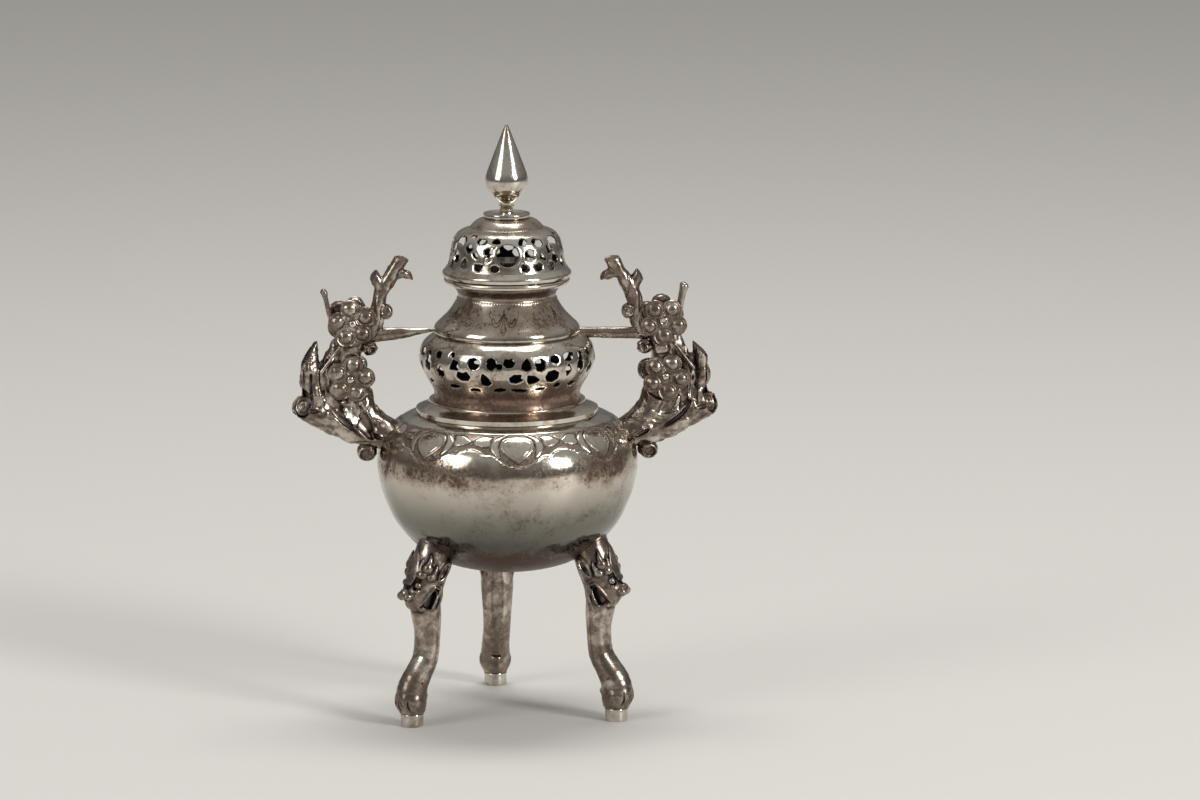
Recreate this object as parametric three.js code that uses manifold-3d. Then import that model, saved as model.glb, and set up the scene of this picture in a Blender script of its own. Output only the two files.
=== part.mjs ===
// Silver tripod censer: a raised bowl on three mask legs, a pierced gallery and a
// waisted neck above it, plum-branch handles at the sides, and a pierced lid that lifts off.
// Millimetres, +Z up, front towards -Y, origin on the ground under the censer's axis.

import * as THREE from 'three';
import { mergeVertices } from 'three/addons/utils/BufferGeometryUtils.js';
import Module from 'manifold-3d';

const wasm = await Module();
wasm.setup();

// Driving dimensions

const TOTAL_HEIGHT = 200;
const WALL = 0.9; // raised and pierced sheet
const GAP = 0.3; // fitting gap between neighbouring pieces
const SEGMENTS = 24; // facets round a turned piece
const PIERCED_SEGMENTS = 27; // round a pierced piece, one to each opening in a row
const SMALL_SEGMENTS = 12; // and round the finial and its fixings
const WELD = 1e-3;

const BOWL = { bottom: 49, top: 102.7, mouth: 27 };
const MOUTH_RING = { top: 107.3, outer: 30.55, inner: 24 };
const GALLERY = { foot: 24.8, waist: 24.5, belly: 29.5, top: 129.6 };
const NECK = { ridge: 24.64, throat: 16.4, top: 146.3 };
const NECK_RIM = { outer: 21.1, inner: 17.2, top: 148.7 };
const LID = { foot: NECK_RIM.top + GAP, rimTop: 152.2, rim: 21.65, bore: 15.2, domeTop: 168.6 };
const BEZEL = { outer: 16.2, depth: 3.4 };
const CAP = { radius: 7.8, floor: 169.5, edge: 170.2 };
const STEM_TOP = 172.6;
const ROD = { radius: 1.2, bottom: 164.6, top: 176.1 };
const NUT = { radius: 3, bottom: 165.5, top: 167.4 };

const LEG_CIRCLE = 39.8; // radius through the middles of the feet
const LEG_AZIMUTHS = { front_left: -60, front_right: 60, back: 180 }; // degrees from the front
const FOOT = { radius: 3.8, lip: 3.9, height: 4.5 };

const SEAT = 3.1; // flat seat for a blossom, from the branch's middle plane
const BLOSSOM = { petalCircle: 4.95, petal: 2.85, heart: 3.8, disc: 1.2, hole: 1.1, ring: 2 };
const RIVET = { shank: 0.8, head: 1.5, reach: 5.9 };

// Finishes: antique silver, brighter on turned work and browner on cast work

const finish = (color, roughness) =>
  new THREE.MeshStandardMaterial({ color, roughness, metalness: 1 });
const POLISHED = finish('#b8b0a4', 0.28);
const PIERCED = finish('#a89c8c', 0.36);
const CAST = finish('#85786c', 0.38);

// Solids

// A closed geometry as a solid whose faces point out.
function solid(geometry) {
  geometry.deleteAttribute('normal');
  geometry.deleteAttribute('uv');
  const merged = mergeVertices(geometry, WELD);
  const position = merged.attributes.position;
  const corner = (i) => new THREE.Vector3().fromBufferAttribute(position, i);
  const faces = [];
  let volume = 0;
  for (let i = 0; i < merged.index.count; i += 3) {
    const [a, b, c] = [0, 1, 2].map((k) => merged.index.getX(i + k));
    if (a === b || b === c || c === a) continue;
    faces.push([a, b, c]);
    volume += corner(a).dot(corner(b).cross(corner(c)));
  }
  const triVerts = new Uint32Array(faces.flatMap(([a, b, c]) => (volume < 0 ? [a, c, b] : [a, b, c])));
  const vertProperties = new Float32Array(position.array);
  return new wasm.Manifold(new wasm.Mesh({ numProp: 3, vertProperties, triVerts }));
}

const joined = (...shapes) => shapes.flat(Infinity).reduce((whole, next) => whole.add(next));
const cut = (shape, ...tools) => shape.subtract(joined(tools));

// A named piece from a solid.
function piece(name, shape, material) {
  const { vertProperties, triVerts } = shape.getMesh();
  const geometry = new THREE.BufferGeometry();
  geometry.setAttribute('position', new THREE.BufferAttribute(vertProperties, 3));
  geometry.setIndex(new THREE.BufferAttribute(triVerts, 1));
  geometry.computeVertexNormals();
  const mesh = new THREE.Mesh(geometry, material);
  mesh.name = name;
  return mesh;
}

// Turned and raised forms: outlines are lists of [radius, height], from foot to top

const smooth = (points, steps) =>
  new THREE.SplineCurve(points.map(([r, z]) => new THREE.Vector2(r, z)))
    .getPoints(steps)
    .map(({ x, y }) => [x, y]);

// The outline moved along its normal: inwards for a positive distance. An end off the axis
// keeps its height where the outline stands up there, and its radius where it lies flat.
function offset(outline, distance) {
  const last = outline.length - 1;
  return outline.map(([r, z], i) => {
    const [r0, z0] = outline[Math.max(i - 1, 0)];
    const [r1, z1] = outline[Math.min(i + 1, last)];
    const length = Math.hypot(r1 - r0, z1 - z0);
    const inward = [r - (distance * (z1 - z0)) / length, z + (distance * (r1 - r0)) / length];
    const end = (i === 0 || i === last) && r > 0;
    const upright = Math.abs(z1 - z0) > Math.abs(r1 - r0);
    if (end && upright) return [inward[0], z];
    if (end) return [r, inward[1]];
    return [Math.max(inward[0], 0), inward[1]];
  });
}

// A raised sheet: the outline up the outside, and its offset down the inside.
const sheet = (outline) => [...outline, ...offset(outline, WALL).reverse()];

function turned(profile, segments = SEGMENTS) {
  const points = profile.map(([r, z]) => new THREE.Vector2(r, z));
  if (profile[0][0] > 0) points.push(points[0].clone());
  return solid(new THREE.LatheGeometry(points, segments).rotateX(Math.PI / 2));
}

// A solid core a fitting gap larger than an outline, for cutting what meets that piece.
function clearance(outline) {
  const grown = offset(outline, -GAP).map(([r, z]) => [Math.max(r, 0), z]);
  return turned([[0, grown[0][1] - GAP], ...grown, [0, grown.at(-1)[1] + GAP]]);
}

const bowlOutline = [
  ...smooth(
    [
      [0, BOWL.bottom],
      [14, 50.4],
      [26, 54.6],
      [36.2, 64],
      [41.2, 73.6],
      [43.3, 81],
      [43.75, 87],
      [42.9, 92.2],
      [40.7, 96.4],
      [37.6, 99.6],
      [34, 101.7],
      [31, BOWL.top],
    ],
    9,
  ),
  [BOWL.mouth, BOWL.top],
];

const mouthRingProfile = [
  [MOUTH_RING.inner, BOWL.top],
  [MOUTH_RING.outer, BOWL.top],
  ...smooth([[MOUTH_RING.outer, 104.5], [28.2, 105], [26.7, 106], [26.2, MOUTH_RING.top]], 2),
  [MOUTH_RING.inner, MOUTH_RING.top],
];

// The three tall steps from 111.6 to 125.5 each take a row of openings.
const galleryOutline = [
  [GALLERY.foot, MOUTH_RING.top],
  [GALLERY.waist, 109.2],
  [25.1, 111.6],
  [27.7, 116.3],
  [GALLERY.belly, 120.9],
  [28.9, 125.5],
  [24, GALLERY.top],
];

const neckOutline = smooth(
  [
    [24.3, GALLERY.top],
    [NECK.ridge, 130.6],
    [24.1, 132.4],
    [22.1, 134.4],
    [20.1, 136.4],
    [18.5, 138.5],
    [16.9, 141.2],
    [NECK.throat, 142.8],
    [17, 144.4],
    [18.1, 145.5],
    [18.3, NECK.top],
  ],
  7,
);

const neckRimProfile = [
  [NECK_RIM.inner, NECK.top],
  [20.3, NECK.top],
  [NECK_RIM.outer, 147.2],
  [NECK_RIM.outer, 148.1],
  [20.7, NECK_RIM.top],
  [NECK_RIM.inner, NECK_RIM.top],
];

const lidRimProfile = [
  [LID.bore, LID.foot],
  [21.4, LID.foot],
  [LID.rim, 149.8],
  [21.4, 150.8],
  [20.4, LID.rimTop],
  [19, LID.rimTop],
  [LID.bore, 150],
];

const bezelProfile = [
  [LID.bore, LID.foot - BEZEL.depth],
  [BEZEL.outer, LID.foot - BEZEL.depth],
  [BEZEL.outer, LID.foot],
  [LID.bore, LID.foot],
];

// The three tall steps from the rim to 163.7 each take a row of openings.
const domeOutline = [
  [20, LID.rimTop],
  [19.2, 156.2],
  [18.4, 160.4],
  [16.2, 163.7],
  [12.6, 165.3],
  [10.9, 167.3],
  [7.4, LID.domeTop],
  [ROD.radius + GAP, LID.domeTop],
];

const capProfile = [
  [ROD.radius + GAP, LID.domeTop],
  [7.4, LID.domeTop],
  [CAP.radius, 169.1],
  [CAP.radius, 169.9],
  [7.4, CAP.edge],
  [6.2, CAP.floor],
  [ROD.radius + GAP, CAP.floor],
];

const stemProfile = [
  [ROD.radius + GAP, CAP.floor],
  [2.7, CAP.floor],
  [2.3, 170.6],
  [2.3, 171.6],
  [2.6, STEM_TOP],
  [ROD.radius + GAP, STEM_TOP],
];

const finialProfile = [
  [0, ROD.top + GAP],
  [ROD.radius + GAP, ROD.top + GAP],
  [ROD.radius + GAP, STEM_TOP],
  [2.5, STEM_TOP],
  ...smooth([[2.7, 173.3], [3.8, 174.9], [5, 176.4], [6.6, 178.4], [7.18, 180.9]], 3),
  ...smooth([[6.6, 183.6], [5.17, 187.4], [3.08, 193.2], [1, 198.4]], 3),
  [0, TOTAL_HEIGHT],
];

const rodProfile = [
  [0, ROD.bottom],
  [ROD.radius, ROD.bottom],
  [ROD.radius, ROD.top],
  [0, ROD.top],
];

const nutProfile = [
  [ROD.radius + GAP, NUT.bottom],
  [NUT.radius - 0.5, NUT.bottom],
  [NUT.radius, NUT.bottom + 0.5],
  [NUT.radius, NUT.top],
  [ROD.radius + GAP, NUT.top],
];

// Piercing: rows of small openings sawn through a raised sheet, one opening to a facet

const FACET = (2 * Math.PI) / PIERCED_SEGMENTS;

// Irregular sawn shapes, as [across, up] corners of an opening one unit wide and tall.
const SAWN = {
  bean: [[-0.5, -0.2], [0.1, -0.5], [0.5, 0], [0.2, 0.5], [-0.4, 0.35]],
  drop: [[-0.5, 0.35], [-0.2, -0.5], [0.4, -0.35], [0.45, 0.4]],
  diamond: [[-0.5, 0], [0.05, -0.5], [0.5, 0.05], [-0.05, 0.5]],
  slit: [[-0.5, -0.1], [-0.1, -0.5], [0.5, 0.1], [0, 0.5]],
};
const SAWN_SIZES = [1, 0.85, 1.1]; // taken in turn round a row

// Each row names the step of the outline it lies on. An opening's width and height are shares of the facet's.
const GALLERY_ROWS = [
  { step: 2, wide: 0.7, tall: 0.36, shapes: ['slit'] },
  { step: 3, wide: 0.68, tall: 0.74, shapes: ['bean', 'drop', 'drop', 'diamond'] },
  { step: 4, wide: 0.66, tall: 0.74, shapes: ['drop', 'diamond', 'bean', 'drop', 'diamond'] },
];
const LID_ROWS = [
  { step: 0, wide: 0.68, tall: 0.6, shapes: ['drop', 'diamond'] },
  { step: 1, wide: 0.68, tall: 0.68, shapes: ['diamond', 'drop', 'bean'] },
  { step: 2, wide: 0.68, tall: 0.56, shapes: ['drop', 'diamond'] },
];

// The corners of a row's opening in facet i, as shares of the facet's width and height.
function sawn({ wide, tall, shapes }, i) {
  const size = SAWN_SIZES[i % SAWN_SIZES.length];
  return SAWN[shapes[i % shapes.length]].map(
    ([a, b]) => new THREE.Vector2(0.5 + a * wide * size, 0.5 + b * tall * size),
  );
}

// A raised sheet with rows of openings. Each facet is laid on the outer and the inner outline alike, and an
// opening gets walls between the two. clear says whether a facet, by its middle's angle, takes an opening.
function piercedSheet(outline, rows, { start = 0, clear = () => true } = {}) {
  const triangles = [];
  const quad = (a, b, c, d) => triangles.push(a, b, c, a, c, d);
  const square = [[0, 0], [1, 0], [1, 1], [0, 1]].map(([u, v]) => new THREE.Vector2(u, v));
  const skins = [outline, offset(outline, WALL)];
  const place = ([r, z], turn) => new THREE.Vector3(r * Math.sin(turn), -r * Math.cos(turn), z);
  for (let i = 0; i < PIERCED_SEGMENTS; i += 1) {
    const sides = [i, (i + 1) % PIERCED_SEGMENTS].map((k) => start + k * FACET);
    const [outer, inner] = skins.map((skin) => skin.map((point) => sides.map((turn) => place(point, turn))));
    for (let j = 0; j < outline.length - 1; j += 1) {
      const facets = [outer, inner].map((skin) => [...skin[j], skin[j + 1][1], skin[j + 1][0]]);
      const row = rows.find(({ step }) => step === j);
      const hole = row && clear(start + (i + 0.5) * FACET) ? sawn(row, i) : [];
      const [out, back] = facets.map(([a, b, c, d]) =>
        [...square, ...hole].map(({ x, y }) => a.clone().lerp(b, x).lerp(d.clone().lerp(c, x), y)),
      );
      for (const [a, b, c] of THREE.ShapeUtils.triangulateShape(square, hole.length ? [hole] : [])) {
        triangles.push(out[a], out[b], out[c], back[a], back[c], back[b]);
      }
      hole.forEach((_, k) => {
        const [a, b] = [k, (k + 1) % hole.length].map((n) => n + square.length);
        quad(out[a], out[b], back[b], back[a]);
      });
    }
    quad(outer[0][1], outer[0][0], inner[0][0], inner[0][1]);
    quad(...outer.at(-1), inner.at(-1)[1], inner.at(-1)[0]);
  }
  return solid(new THREE.BufferGeometry().setFromPoints(triangles));
}

// The round vents in the lid. Each takes the place of two facets.
const VENT = { count: 3, radius: 3.85, height: 158.4, sides: 14, front: THREE.MathUtils.degToRad(-5.3) };
const ventTurns = Array.from({ length: VENT.count }, (_, i) => VENT.front + (i * 2 * Math.PI) / VENT.count);
const clearOfVents = (turn) => ventTurns.every((vent) => Math.cos(turn - vent) < Math.cos(FACET));
const ventCut = (turn) =>
  solid(
    new THREE.CylinderGeometry(VENT.radius, VENT.radius, 6 * WALL, VENT.sides)
      .translate(0, 3 * WALL - LID.rim, VENT.height)
      .rotateZ(turn),
  );

// Cast forms: limbs swept along a curve in an upright plane through the axis

// Closed skin over rings with the same number of corners, with a flat fan over each end.
function loft(rings) {
  const sides = rings[0].length;
  const middle = (ring) =>
    ring.reduce((sum, p) => sum.add(p), new THREE.Vector3()).divideScalar(sides);
  const points = [...rings.flat(), middle(rings[0]), middle(rings.at(-1))];
  const [foot, head] = [points.length - 2, points.length - 1];
  const index = [];
  for (let j = 0; j < sides; j += 1) {
    const next = (j + 1) % sides;
    const top = (rings.length - 1) * sides;
    index.push(foot, next, j, head, top + j, top + next);
    for (let i = 0; i < rings.length - 1; i += 1) {
      const [low, high] = [i * sides, (i + 1) * sides];
      index.push(low + j, low + next, high + next, low + j, high + next, high + j);
    }
  }
  const geometry = new THREE.BufferGeometry().setFromPoints(points);
  geometry.setIndex(index);
  return solid(geometry);
}

// A tapering limb. Each row is [outward, height, half thickness in the plane, half depth across].
// side is -1 for a limb towards -X, y shifts it across, and grow makes it larger all round.
function limb(rows, { side = 1, y = 0, sides = 6, steps = rows.length, grow = 0 } = {}) {
  const path = new THREE.SplineCurve(rows.map(([u, z]) => new THREE.Vector2(u, z)));
  const girth = new THREE.SplineCurve(rows.map(([, , a, b]) => new THREE.Vector2(a, b)));
  const rings = Array.from({ length: steps + 1 }, (_, i) => {
    const t = i / steps;
    const along = path.getTangent(t);
    const centre = path.getPoint(t);
    if (i === 0) centre.addScaledVector(along, -grow);
    if (i === steps) centre.addScaledVector(along, grow);
    const { x: half, y: depth } = girth.getPoint(t).addScalar(grow);
    return Array.from({ length: sides }, (_, j) => {
      const turn = ((j + 0.5) * 2 * Math.PI) / sides;
      const across = half * Math.cos(turn);
      const u = centre.x - along.y * across;
      return new THREE.Vector3(side * u, y + depth * Math.sin(turn), centre.y + along.x * across);
    });
  });
  return loft(rings);
}

// An ellipsoid at a place, leaning by tilt degrees about the Y axis.
function knob([x, y, z], [a, b, c], { tilt = 0, around = 6, down = 4 } = {}) {
  const ball = new THREE.SphereGeometry(1, around, down).rotateX(Math.PI / 2).scale(a, b, c);
  return solid(ball.rotateY(THREE.MathUtils.degToRad(tilt)).translate(x, y, z));
}

const SMALL = { around: 5, down: 3 };
const bothSides = (make) => [-1, 1].map(make);

// Legs: [outward, height, half depth, half width], from the ankle to inside the bowl

const LEG_ROWS = [
  [LEG_CIRCLE, FOOT.height + GAP, 3.5, 3.4],
  [39.8, 7, 4.7, 4.3],
  [40, 9.7, 5.3, 4.9],
  [39.2, 13.8, 5, 4.8],
  [36.4, 18.3, 4.3, 4.7],
  [34.2, 22.8, 4.1, 4.8],
  [33.4, 31, 3.9, 5.2],
  [33.6, 37, 4.4, 5],
  [33.8, 42, 4.8, 4.8],
  [33.2, 49, 6.2, 5.8],
  [31.4, 55, 6.6, 6.2],
  [30, 60, 6.2, 6],
  [29, 66, 6, 5.8],
];

// The beast's upper jaw hangs over the shank like a hood, and its chin stands out below.
const UPPER_JAW = [[32.6, 51.4, 6.2, 6], [36.4, 48, 5.4, 6], [39.4, 44.8, 3.8, 5], [41.2, 41.8, 1.8, 3]];
const CHIN = [[33.4, 41, 2.6, 4.6], [36.6, 38.9, 2.2, 3.9], [39, 38.6, 1, 2]];

// The mask that looks outwards from the top of a leg.
function mask() {
  return [
    limb(UPPER_JAW, { sides: 8 }),
    limb(CHIN, { steps: 2 }),
    knob([42.2, 0, 45], [2.2, 2.4, 2.1]), // nose
    knob([36.6, 0, 54.8], [1.7, 2.8, 5.4], { tilt: -17 }), // crest
    bothSides((s) => [
      knob([39, s * 3.7, 48.8], [1.6, 1.4, 1.4], SMALL), // eye
      knob([36.8, s * 4.2, 52.2], [2.6, 2.3, 2.6], SMALL), // brow
      knob([31.6, s * 6.3, 52.4], [1.8, 1.2, 5.2], { tilt: -36, ...SMALL }), // ear
    ]),
  ];
}

// The toes and the heel spur of a paw.
function paw() {
  return [
    bothSides((s) => [
      knob([42.8, s * 1.7, 8.4], [2.5, 1.9, 2.5], SMALL),
      knob([40.4, s * 3.9, 8.2], [2.7, 1.7, 2.3], SMALL),
    ]),
    knob([35.4, 0, 9.9], [1.7, 1.7, 1.2], SMALL),
  ];
}

function legGroup(name, azimuth) {
  const shank = limb(LEG_ROWS, { sides: 8, steps: 10 });
  const shape = cut(joined(shank, mask(), paw()), clearance(bowlOutline));
  const pad = new THREE.CylinderGeometry(FOOT.radius, FOOT.lip, FOOT.height, SMALL_SEGMENTS)
    .rotateX(Math.PI / 2)
    .translate(LEG_CIRCLE, 0, FOOT.height / 2);
  const group = new THREE.Group();
  group.rotation.z = THREE.MathUtils.degToRad(azimuth - 90);
  group.add(piece(`leg_${name}`, shape, CAST), piece(`foot_pad_${name}`, solid(pad), POLISHED));
  return group;
}

// Handles: plum branches, as rows for limb(). Heights follow the left handle.

const TRUNK = [
  [36, 94, 5.4, 5.4],
  [42.5, 96.8, 5.6, 5.2],
  [46.6, 101.6, 4.6, 4.6],
  [49.6, 108, 4, 4],
  [52.4, 115, 4.4, 4],
  [53, 122, 3.6, 3.6],
  [51.6, 129, 3.8, 3.6],
  [50.8, 136, 3.4, 3.4],
];
const OUTER_LIMB = [
  [44, 96, 4.4, 4.6],
  [52, 97.8, 4.6, 4.6],
  [59, 101.2, 4.6, 4.4],
  [65, 104.2, 4.2, 4],
  [70.8, 105.6, 3.5, 3.5],
];
const WEB = [
  [50.6, 101.6, 3.4, 3.4],
  [56, 106.4, 5.4, 3.2],
  [59.6, 112.6, 4.8, 3],
  [59.8, 119, 3.4, 2.8],
  [56.6, 126, 2.8, 2.8],
  [52.6, 131, 2.8, 2.8],
];
const SIDES = {
  left: {
    side: -1,
    rise: 0,
    stub: [[62.6, 103, 4, 4], [65.4, 110, 3.6, 3.6], [65.8, 117, 3.4, 3.4], [65.4, 125.2, 2.9, 2.9]],
    spur: [[52.4, 130, 1.2, 1.2], [58.6, 134.6, 0.9, 0.9], [61.3, 143.4, 0.85, 0.85]],
    strut: [[46, 129.4, 2.5, 2.2], [36, 130, 1.8, 1.7], [24, 131, 0.5, 0.6]],
    turn: { upper: 80, lower: 100 },
  },
  right: {
    side: 1,
    rise: -1.2,
    stub: [[62.4, 103, 4, 4], [65.2, 110, 3, 3.2], [65.6, 117, 2.6, 2.8], [65.9, 125, 2.7, 2.8]],
    spur: [[52.4, 130, 1.3, 1.3], [57.6, 135.4, 1.1, 1.1], [59.6, 144.6, 1.1, 1.1]],
    strut: [[46, 129.6, 2.1, 2], [36, 130, 1.9, 1.8], [24, 130.4, 1.8, 1.7]],
    turn: { upper: 55, lower: 64 },
  },
};
const TWIG = [
  [46, 132, 3.1, 2.8],
  [43.4, 138, 2.4, 2.4],
  [42.4, 143.4, 2.3, 2.2],
  [39.8, 148, 2.2, 2.1],
  [35.4, 155, 1.9, 1.9],
];
const TWIG_STUBS = [
  [[42, 144.6, 1.8, 1.8], [44.6, 149.8, 1.4, 1.4]],
  [[37.4, 150.6, 1.7, 1.7], [32.2, 149.6, 1.2, 1.2]],
];
const CROSSING_TWIG = [[56.4, 126.4, 0.55, 0.55], [62.2, 118.6, 0.55, 0.55]];
const CROSSING_Y = -3.65; // a fitting gap in front of the web
const FLOWERS = { upper: [52.3, 134.2], lower: [53.1, 115.4] };
const BUDS = {
  twig: { at: [40.6, -1.4, 137.6], radii: [2.3, 2.3, 2.6] },
  strut: { at: [46.4, -1.6, 125.4], radii: [2.6, 2.4, 2.5] },
  root: { at: [47.4, -1, 90.4], radii: [3.6, 3.2, 3.3] },
};

// A cylinder across the handle, from one distance to another along Y.
function crossBore([u, z], radius, from, to, side, around = 6) {
  const bore = new THREE.CylinderGeometry(radius, radius, to - from, around);
  return solid(bore.translate(side * u, (from + to) / 2, z));
}

// Five cupped petals, each with a round boss, about a ring that takes the rivet.
function blossom([u, z], face, side, startTurn) {
  const petal = [[0, 0.5], [BLOSSOM.petal, 0.5], [BLOSSOM.petal, 1.7], [1.5, 1.1], [0, 2.9]];
  const first = THREE.MathUtils.degToRad(startTurn);
  // Five-sided forms, turned so that the petals' and the heart's flats face each other.
  const lathe = (profile, turn) =>
    new THREE.LatheGeometry(profile.map(([r, h]) => new THREE.Vector2(r, h)), 5, turn + (Math.PI * 7) / 10);
  const petals = Array.from({ length: 5 }, (_, i) => {
    const turn = first + (i * 2 * Math.PI) / 5;
    const [across, up] = [Math.cos(turn), -Math.sin(turn)].map((share) => BLOSSOM.petalCircle * share);
    return solid(lathe(petal, turn + Math.PI).translate(across, 0, up));
  });
  const { heart, disc, ring, hole } = BLOSSOM;
  const boss = [[0, 0], [heart, 0], [heart, disc], [ring, disc + 0.5], [0, disc + 0.5]];
  const middle = solid(lathe(boss, first));
  const bore = solid(new THREE.CylinderGeometry(hole, hole, 8, 6));
  const { vertProperties, triVerts } = cut(joined(petals, middle), bore).getMesh();
  const geometry = new THREE.BufferGeometry();
  geometry.setAttribute('position', new THREE.BufferAttribute(vertProperties, 3));
  geometry.setIndex(new THREE.BufferAttribute(triVerts, 1));
  // The flower is made with its face up +Y, and turned to the front for face -1.
  if (face < 0) geometry.rotateZ(Math.PI);
  return solid(geometry.translate(side * u, face * (SEAT + GAP), z));
}

// A rivet through both blossoms of a pair, with a domed head at each end.
function rivet([u, z], side) {
  const { shank, head, reach } = RIVET;
  const seat = SEAT + GAP + BLOSSOM.disc + 0.5 + GAP;
  const profile = [
    [0, -reach],
    [head, -reach + 0.4],
    [head, -seat],
    [shank, -seat],
    [shank, seat],
    [head, seat],
    [head, reach - 0.4],
    [0, reach],
  ];
  const points = profile.map(([r, h]) => new THREE.Vector2(r, h));
  return solid(new THREE.LatheGeometry(points, 6).translate(side * u, 0, z));
}

function handleGroup(name, { side, rise, stub, spur, strut, turn }) {
  const lift = ([u, z, ...rest]) => [u, z + rise, ...rest];
  const rows = (list) => list.map(lift);
  const at = Object.fromEntries(Object.entries(FLOWERS).map(([key, place]) => [key, lift(place)]));
  const bodyRows = [TRUNK, OUTER_LIMB, stub, WEB].map(rows);
  const seats = Object.values(at).flatMap((place) => [
    crossBore(place, 8.3, SEAT, 9, side, 10),
    crossBore(place, 8.3, -9, -SEAT, side, 10),
    crossBore(place, BLOSSOM.hole, -9, 9, side),
  ]);
  const trunk = cut(
    joined(bodyRows.map((r) => limb(r, { side })), limb(rows(spur), { side, y: 1.6, sides: 5 })),
    seats,
    clearance(bowlOutline),
  );
  const trunkSpace = bodyRows.map((r) => limb(r, { side, grow: GAP }));
  const twigRows = [TWIG, ...TWIG_STUBS].map(rows);
  const twig = cut(joined(twigRows.map((r) => limb(r, { side }))), trunkSpace);
  const twigSpace = twigRows.map((r) => limb(r, { side, grow: GAP }));
  const strutBar = cut(
    limb(rows(strut), { side }),
    trunkSpace,
    twigSpace,
    clearance(neckOutline),
    clearance(galleryOutline),
  );
  const strutSpace = limb(rows(strut), { side, grow: GAP });
  const bud = ({ at: [u, y, z], radii }) => knob([side * u, y, z + rise], radii);
  const group = new THREE.Group();
  group.add(
    piece(`${name}_branch`, trunk, CAST),
    piece(`${name}_twig`, twig, CAST),
    piece(`${name}_strut`, strutBar, CAST),
    piece(`${name}_crossing_twig`, limb(rows(CROSSING_TWIG), { side, y: CROSSING_Y }), CAST),
    piece(`${name}_twig_bud`, cut(bud(BUDS.twig), twigSpace), CAST),
    piece(`${name}_strut_bud`, cut(bud(BUDS.strut), trunkSpace, strutSpace), CAST),
    piece(`${name}_root_bud`, cut(bud(BUDS.root), trunkSpace, clearance(bowlOutline)), CAST),
  );
  for (const [level, place] of Object.entries(at)) {
    group.add(
      piece(`${name}_${level}_blossom_front`, blossom(place, -1, side, turn[level]), CAST),
      piece(`${name}_${level}_blossom_back`, blossom(place, 1, side, turn[level] + 30), CAST),
      piece(`${name}_${level}_rivet`, rivet(place, side), POLISHED),
    );
  }
  return group;
}

// Assembly

const vessel = new THREE.Group();
vessel.add(
  piece('bowl', turned(sheet(bowlOutline)), POLISHED),
  piece('mouth_ring', turned(mouthRingProfile), POLISHED),
  piece('gallery', piercedSheet(galleryOutline, GALLERY_ROWS), PIERCED),
  piece('neck', turned(sheet(neckOutline)), POLISHED),
  piece('neck_rim', turned(neckRimProfile), POLISHED),
);
for (const [name, azimuth] of Object.entries(LEG_AZIMUTHS)) vessel.add(legGroup(name, azimuth));
for (const [name, form] of Object.entries(SIDES)) vessel.add(handleGroup(name, form));

const dome = piercedSheet(domeOutline, LID_ROWS, { start: VENT.front, clear: clearOfVents });
const lid = new THREE.Group();
lid.add(
  piece('lid_rim', turned(lidRimProfile), POLISHED),
  piece('lid_bezel', turned(bezelProfile), POLISHED),
  piece('lid_dome', cut(dome, ventTurns.map(ventCut)), PIERCED),
  piece('lid_cap', turned(capProfile, 18), POLISHED),
  piece('finial_stem', turned(stemProfile, SMALL_SEGMENTS), POLISHED),
  piece('finial', turned(finialProfile, SMALL_SEGMENTS), POLISHED),
  piece('finial_rod', turned(rodProfile, SMALL_SEGMENTS), POLISHED),
  piece('finial_nut', turned(nutProfile, SMALL_SEGMENTS), POLISHED),
);

const censer = new THREE.Group();
censer.add(vessel, lid);

export default censer;
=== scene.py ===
"""A silver tripod censer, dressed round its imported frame.

Turned and raised work is a profile carried round the axis, with chased relief as a height over angle and arc
length. Pierced sheet is the same surface clipped along the outlines of its openings and given a wall. Cast
work, the legs and the branch handles, is a field of blended round forms whose zero surface is meshed.

Lengths are millimetres in the modelling code and metres in every mesh. The front is towards -Y.
"""

from __future__ import annotations

import logging
import math
from collections.abc import Callable, Sequence
from dataclasses import dataclass, field
from enum import Enum
from functools import partial

import bpy
import numpy as np
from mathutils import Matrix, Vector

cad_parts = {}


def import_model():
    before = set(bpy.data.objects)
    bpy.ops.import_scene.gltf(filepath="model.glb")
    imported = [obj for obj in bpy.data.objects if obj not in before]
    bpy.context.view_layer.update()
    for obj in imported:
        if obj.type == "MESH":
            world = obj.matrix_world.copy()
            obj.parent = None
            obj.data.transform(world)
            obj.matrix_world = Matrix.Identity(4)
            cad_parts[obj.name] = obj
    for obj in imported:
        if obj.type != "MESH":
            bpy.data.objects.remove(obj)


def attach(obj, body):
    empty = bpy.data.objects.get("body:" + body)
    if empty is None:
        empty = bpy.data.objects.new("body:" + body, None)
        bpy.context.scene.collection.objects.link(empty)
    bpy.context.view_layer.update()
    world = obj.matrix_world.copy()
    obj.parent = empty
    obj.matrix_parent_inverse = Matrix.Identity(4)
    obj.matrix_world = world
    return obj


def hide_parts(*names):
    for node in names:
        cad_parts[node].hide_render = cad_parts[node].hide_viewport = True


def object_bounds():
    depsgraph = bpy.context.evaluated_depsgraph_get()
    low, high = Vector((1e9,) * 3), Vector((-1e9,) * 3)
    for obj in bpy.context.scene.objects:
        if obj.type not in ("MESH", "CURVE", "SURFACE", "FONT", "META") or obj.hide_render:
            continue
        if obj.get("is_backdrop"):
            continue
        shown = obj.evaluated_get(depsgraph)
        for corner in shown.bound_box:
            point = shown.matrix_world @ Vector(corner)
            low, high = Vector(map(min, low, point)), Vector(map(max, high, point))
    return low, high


LOG = logging.getLogger("censer")
Array = np.ndarray
Rows = Sequence[Sequence[float]]
Field = Callable[[Array], Array]
Relief = Callable[[Array, Array], tuple[Array, Array]]
Socket = bpy.types.NodeSocket

MM = 0.001
TURN = 2 * math.pi
# Faces that meet at more than this angle keep a sharp edge.
CREASE = math.radians(38)
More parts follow.
